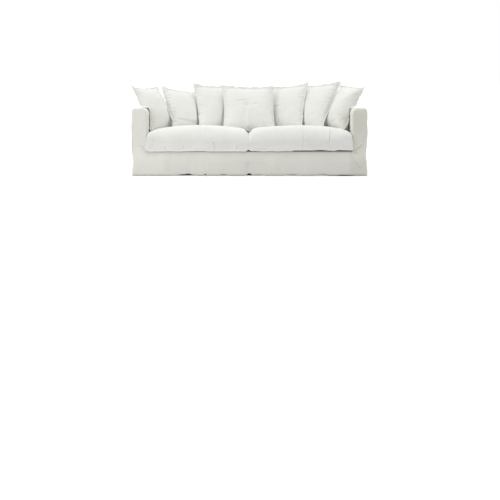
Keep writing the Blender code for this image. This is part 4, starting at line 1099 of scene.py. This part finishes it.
    # relief: weave, slubs, soft crumple
    bump1 = N("ShaderNodeBump")
    bump1.inputs["Strength"].default_value = 0.5
    bump1.inputs["Distance"].default_value = 0.00030
    L(math_node("MULTIPLY_ADD", slub, 0.9, weave), bump1.inputs["Height"])
    crumple = tex(scaled(38, 38), 5.0, 0.6)
    bump2 = N("ShaderNodeBump")
    bump2.inputs["Strength"].default_value = 0.5
    bump2.inputs["Distance"].default_value = 0.0030
    L(crumple, bump2.inputs["Height"])
    L(bump1.outputs[0], bump2.inputs["Normal"])
    L(bump2.outputs[0], bsdf.inputs["Normal"])
    rough = math_node("MULTIPLY_ADD", slub, 0.10, 0.82)
    L(rough, bsdf.inputs["Roughness"])
    return mat


# ------------------------------------------------------------------ put it together
# the cover carries painted shade on the right arm's front, from x 0.97 to 1.07
COVER = linen("cover_linen", (1.0, 1.0, 1.0), 1, painted_shade=(0.97, 1.07, (0.918, 0.918, 0.885)))
PAD = linen("cushion_linen", (1.010, 1.022, 1.050), 2)


def place(ob, node, mat):
    ob.data.materials.clear()
    ob.data.materials.append(mat)
    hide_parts(node)
    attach(ob, "root")
    return ob


ob = place(front_panel(), "front_panel", COVER)
for side, node in ((-1, "arm_cover_left"), (1, "arm_cover_right")):
    ob = place(arm_cloth(side), node, COVER)
ob = place(back_cloth(), "back_cover", COVER)
ob = place(deck_cloth(), "deck", COVER)
print("panels", round(time.time() - T0, 1))
for s in SEATS:
    ob = place(seat_cushion(s), s["name"], PAD)
print("seats", round(time.time() - T0, 1))
for k, p in enumerate(PILLOWS, 1):
    ob = place(pillow(p, k), p["name"], PAD)
print("pillows", round(time.time() - T0, 1))

# ------------------------------------------------------------------ floor, light, camera
GLOW, UNDER = 0.16, 0.50      # the open floor glows a little; so does the strip just inside a lifted hem
floor = bpy.data.meshes.new("floor")
floor.from_pydata([(-60, -30, 0), (60, -30, 0), (60, 90, 0), (-60, 90, 0)], [], [(0, 1, 2, 3)])
floor_ob = bpy.data.objects.new("floor", floor)
bpy.context.scene.collection.objects.link(floor_ob)
fm = bpy.data.materials.new("floor")
fm.use_nodes = True
nt = fm.node_tree
fb = nt.nodes["Principled BSDF"]
fb.inputs["Base Color"].default_value = (0.95, 0.95, 0.95, 1)
fb.inputs["Roughness"].default_value = 0.9
fb.inputs["Specular IOR Level"].default_value = 0.1
fb.inputs["Emission Color"].default_value = (1, 1, 1, 1)
grey = nt.nodes.new("ShaderNodeBsdfDiffuse")
grey.inputs["Color"].default_value = (0.49, 0.49, 0.49, 1)
rays = nt.nodes.new("ShaderNodeLightPath")
mix = nt.nodes.new("ShaderNodeMixShader")
nt.links.new(rays.outputs["Is Camera Ray"], mix.inputs[0])
nt.links.new(grey.outputs[0], mix.inputs[1])
nt.links.new(fb.outputs[0], mix.inputs[2])
nt.links.new(mix.outputs[0], nt.nodes["Material Output"].inputs[0])
# the floor glows a little in the open, and not under the cover
spot = nt.nodes.new("ShaderNodeTexCoord")
part = nt.nodes.new("ShaderNodeSeparateXYZ")
nt.links.new(spot.outputs["Object"], part.inputs[0])


def past(out, middle, half, soft):
    """0 within half of the middle, rising to 1 over the next soft metres."""
    off = nt.nodes.new("ShaderNodeMath")
    off.operation = "SUBTRACT"
    off.inputs[1].default_value = middle
    nt.links.new(out, off.inputs[0])
    size = nt.nodes.new("ShaderNodeMath")
    size.operation = "ABSOLUTE"
    nt.links.new(off.outputs[0], size.inputs[0])
    rise = nt.nodes.new("ShaderNodeMapRange")
    rise.interpolation_type = "SMOOTHSTEP"
    rise.inputs["From Min"].default_value = half
    rise.inputs["From Max"].default_value = half + soft
    nt.links.new(size.outputs[0], rise.inputs[0])
    return rise.outputs[0]


high = nt.nodes.new("ShaderNodeMath")
high.operation = "MAXIMUM"
nt.links.new(past(part.outputs[0], 0.0, SIDE - 0.01, 0.06), high.inputs[0])
nt.links.new(past(part.outputs[1], (FRONT + BACK) / 2, (BACK - FRONT) / 2, 0.06), high.inputs[1])
glowing = nt.nodes.new("ShaderNodeMath")
glowing.operation = "MULTIPLY"
glowing.inputs[1].default_value = GLOW
nt.links.new(high.outputs[0], glowing.inputs[0])
band = nt.nodes.new("ShaderNodeMath")
band.operation = "SUBTRACT"
band.inputs[0].default_value = 1.0
nt.links.new(past(part.outputs[1], FRONT + 0.050, 0.028, 0.022), band.inputs[1])
inside = nt.nodes.new("ShaderNodeMath")
inside.operation = "SUBTRACT"
inside.inputs[0].default_value = 1.0
nt.links.new(past(part.outputs[0], -0.16, 0.93, 0.05), inside.inputs[1])
lip = nt.nodes.new("ShaderNodeMath")
lip.operation = "MULTIPLY"
nt.links.new(band.outputs[0], lip.inputs[0])
nt.links.new(inside.outputs[0], lip.inputs[1])
total = nt.nodes.new("ShaderNodeMath")
total.operation = "MULTIPLY_ADD"
total.inputs[1].default_value = UNDER
nt.links.new(lip.outputs[0], total.inputs[0])
nt.links.new(glowing.outputs[0], total.inputs[2])
nt.links.new(total.outputs[0], fb.inputs["Emission Strength"])
floor.materials.append(fm)

# soft studio surround: brighter overhead and to the left, plain white backdrop
world = bpy.data.worlds.new("white")
bpy.context.scene.world = world
world.use_nodes = True
wt = world.node_tree
bg = wt.nodes["Background"]
bg.inputs[1].default_value = 1.0
where = wt.nodes.new("ShaderNodeTexCoord")
split = wt.nodes.new("ShaderNodeSeparateXYZ")
wt.links.new(where.outputs["Generated"], split.inputs[0])


def weigh(node_out, k, add):
    m = wt.nodes.new("ShaderNodeMath")
    m.operation = "MULTIPLY_ADD"
    wt.links.new(node_out, m.inputs[0])
    m.inputs[1].default_value = k
    if isinstance(add, float):
        m.inputs[2].default_value = add
    else:
        wt.links.new(add, m.inputs[2])
    return m.outputs[0]


AMBIENT, UPWARD, RIGHTWARD, BACKWARD = 0.685, 0.690, 0.06, 0.13
glow = weigh(split.outputs[0], RIGHTWARD, weigh(split.outputs[1], BACKWARD, weigh(split.outputs[2], UPWARD, AMBIENT)))
lit = wt.nodes.new("ShaderNodeMix")
lit.data_type = "RGBA"
seen = wt.nodes.new("ShaderNodeLightPath")
tone = wt.nodes.new("ShaderNodeCombineColor")
for i in range(3):
    wt.links.new(glow, tone.inputs[i])
wt.links.new(seen.outputs["Is Camera Ray"], lit.inputs["Factor"])
wt.links.new(tone.outputs[0], lit.inputs["A"])
lit.inputs["B"].default_value = (1, 1, 1, 1)
wt.links.new(lit.outputs["Result"], bg.inputs[0])


def area(name, where, at, size, watts, colour=(1, 1, 1)):
    d = bpy.data.lights.new(name, "AREA")
    d.shape, d.size, d.size_y = "RECTANGLE", size[0], size[1]
    d.energy, d.color = watts, colour
    o = bpy.data.objects.new(name, d)
    bpy.context.scene.collection.objects.link(o)
    o.location = where
    o.rotation_euler = (Vector(at) - Vector(where)).to_track_quat("-Z", "Y").to_euler()
    return o


area("overhead", (-0.4, 0.1, 4.0), (-0.1, 0, 0.4), (3.4, 2.4), 13)
area("left_key", (-3.2, -3.2, 0.9), (-0.4, 0, 0.4), (1.4, 1.4), 31)

cam = bpy.data.cameras.new("camera")
cam.sensor_width = 36.0
cam.lens = 1195.2 * 36.0 / 500.0
cam.clip_end = 300
cam_ob = bpy.data.objects.new("camera", cam)
bpy.context.scene.collection.objects.link(cam_ob)
cam_ob.location = (0.004, FRONT - 12.0, 1.03)
cam_ob.rotation_euler = (math.radians(90 - 8.45), 0, 0)
bpy.context.scene.camera = cam_ob
bpy.context.scene.view_settings.view_transform = "Standard"
bpy.context.scene.view_settings.look = "None"

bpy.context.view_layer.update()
print("scene", round(time.time() - T0, 1))
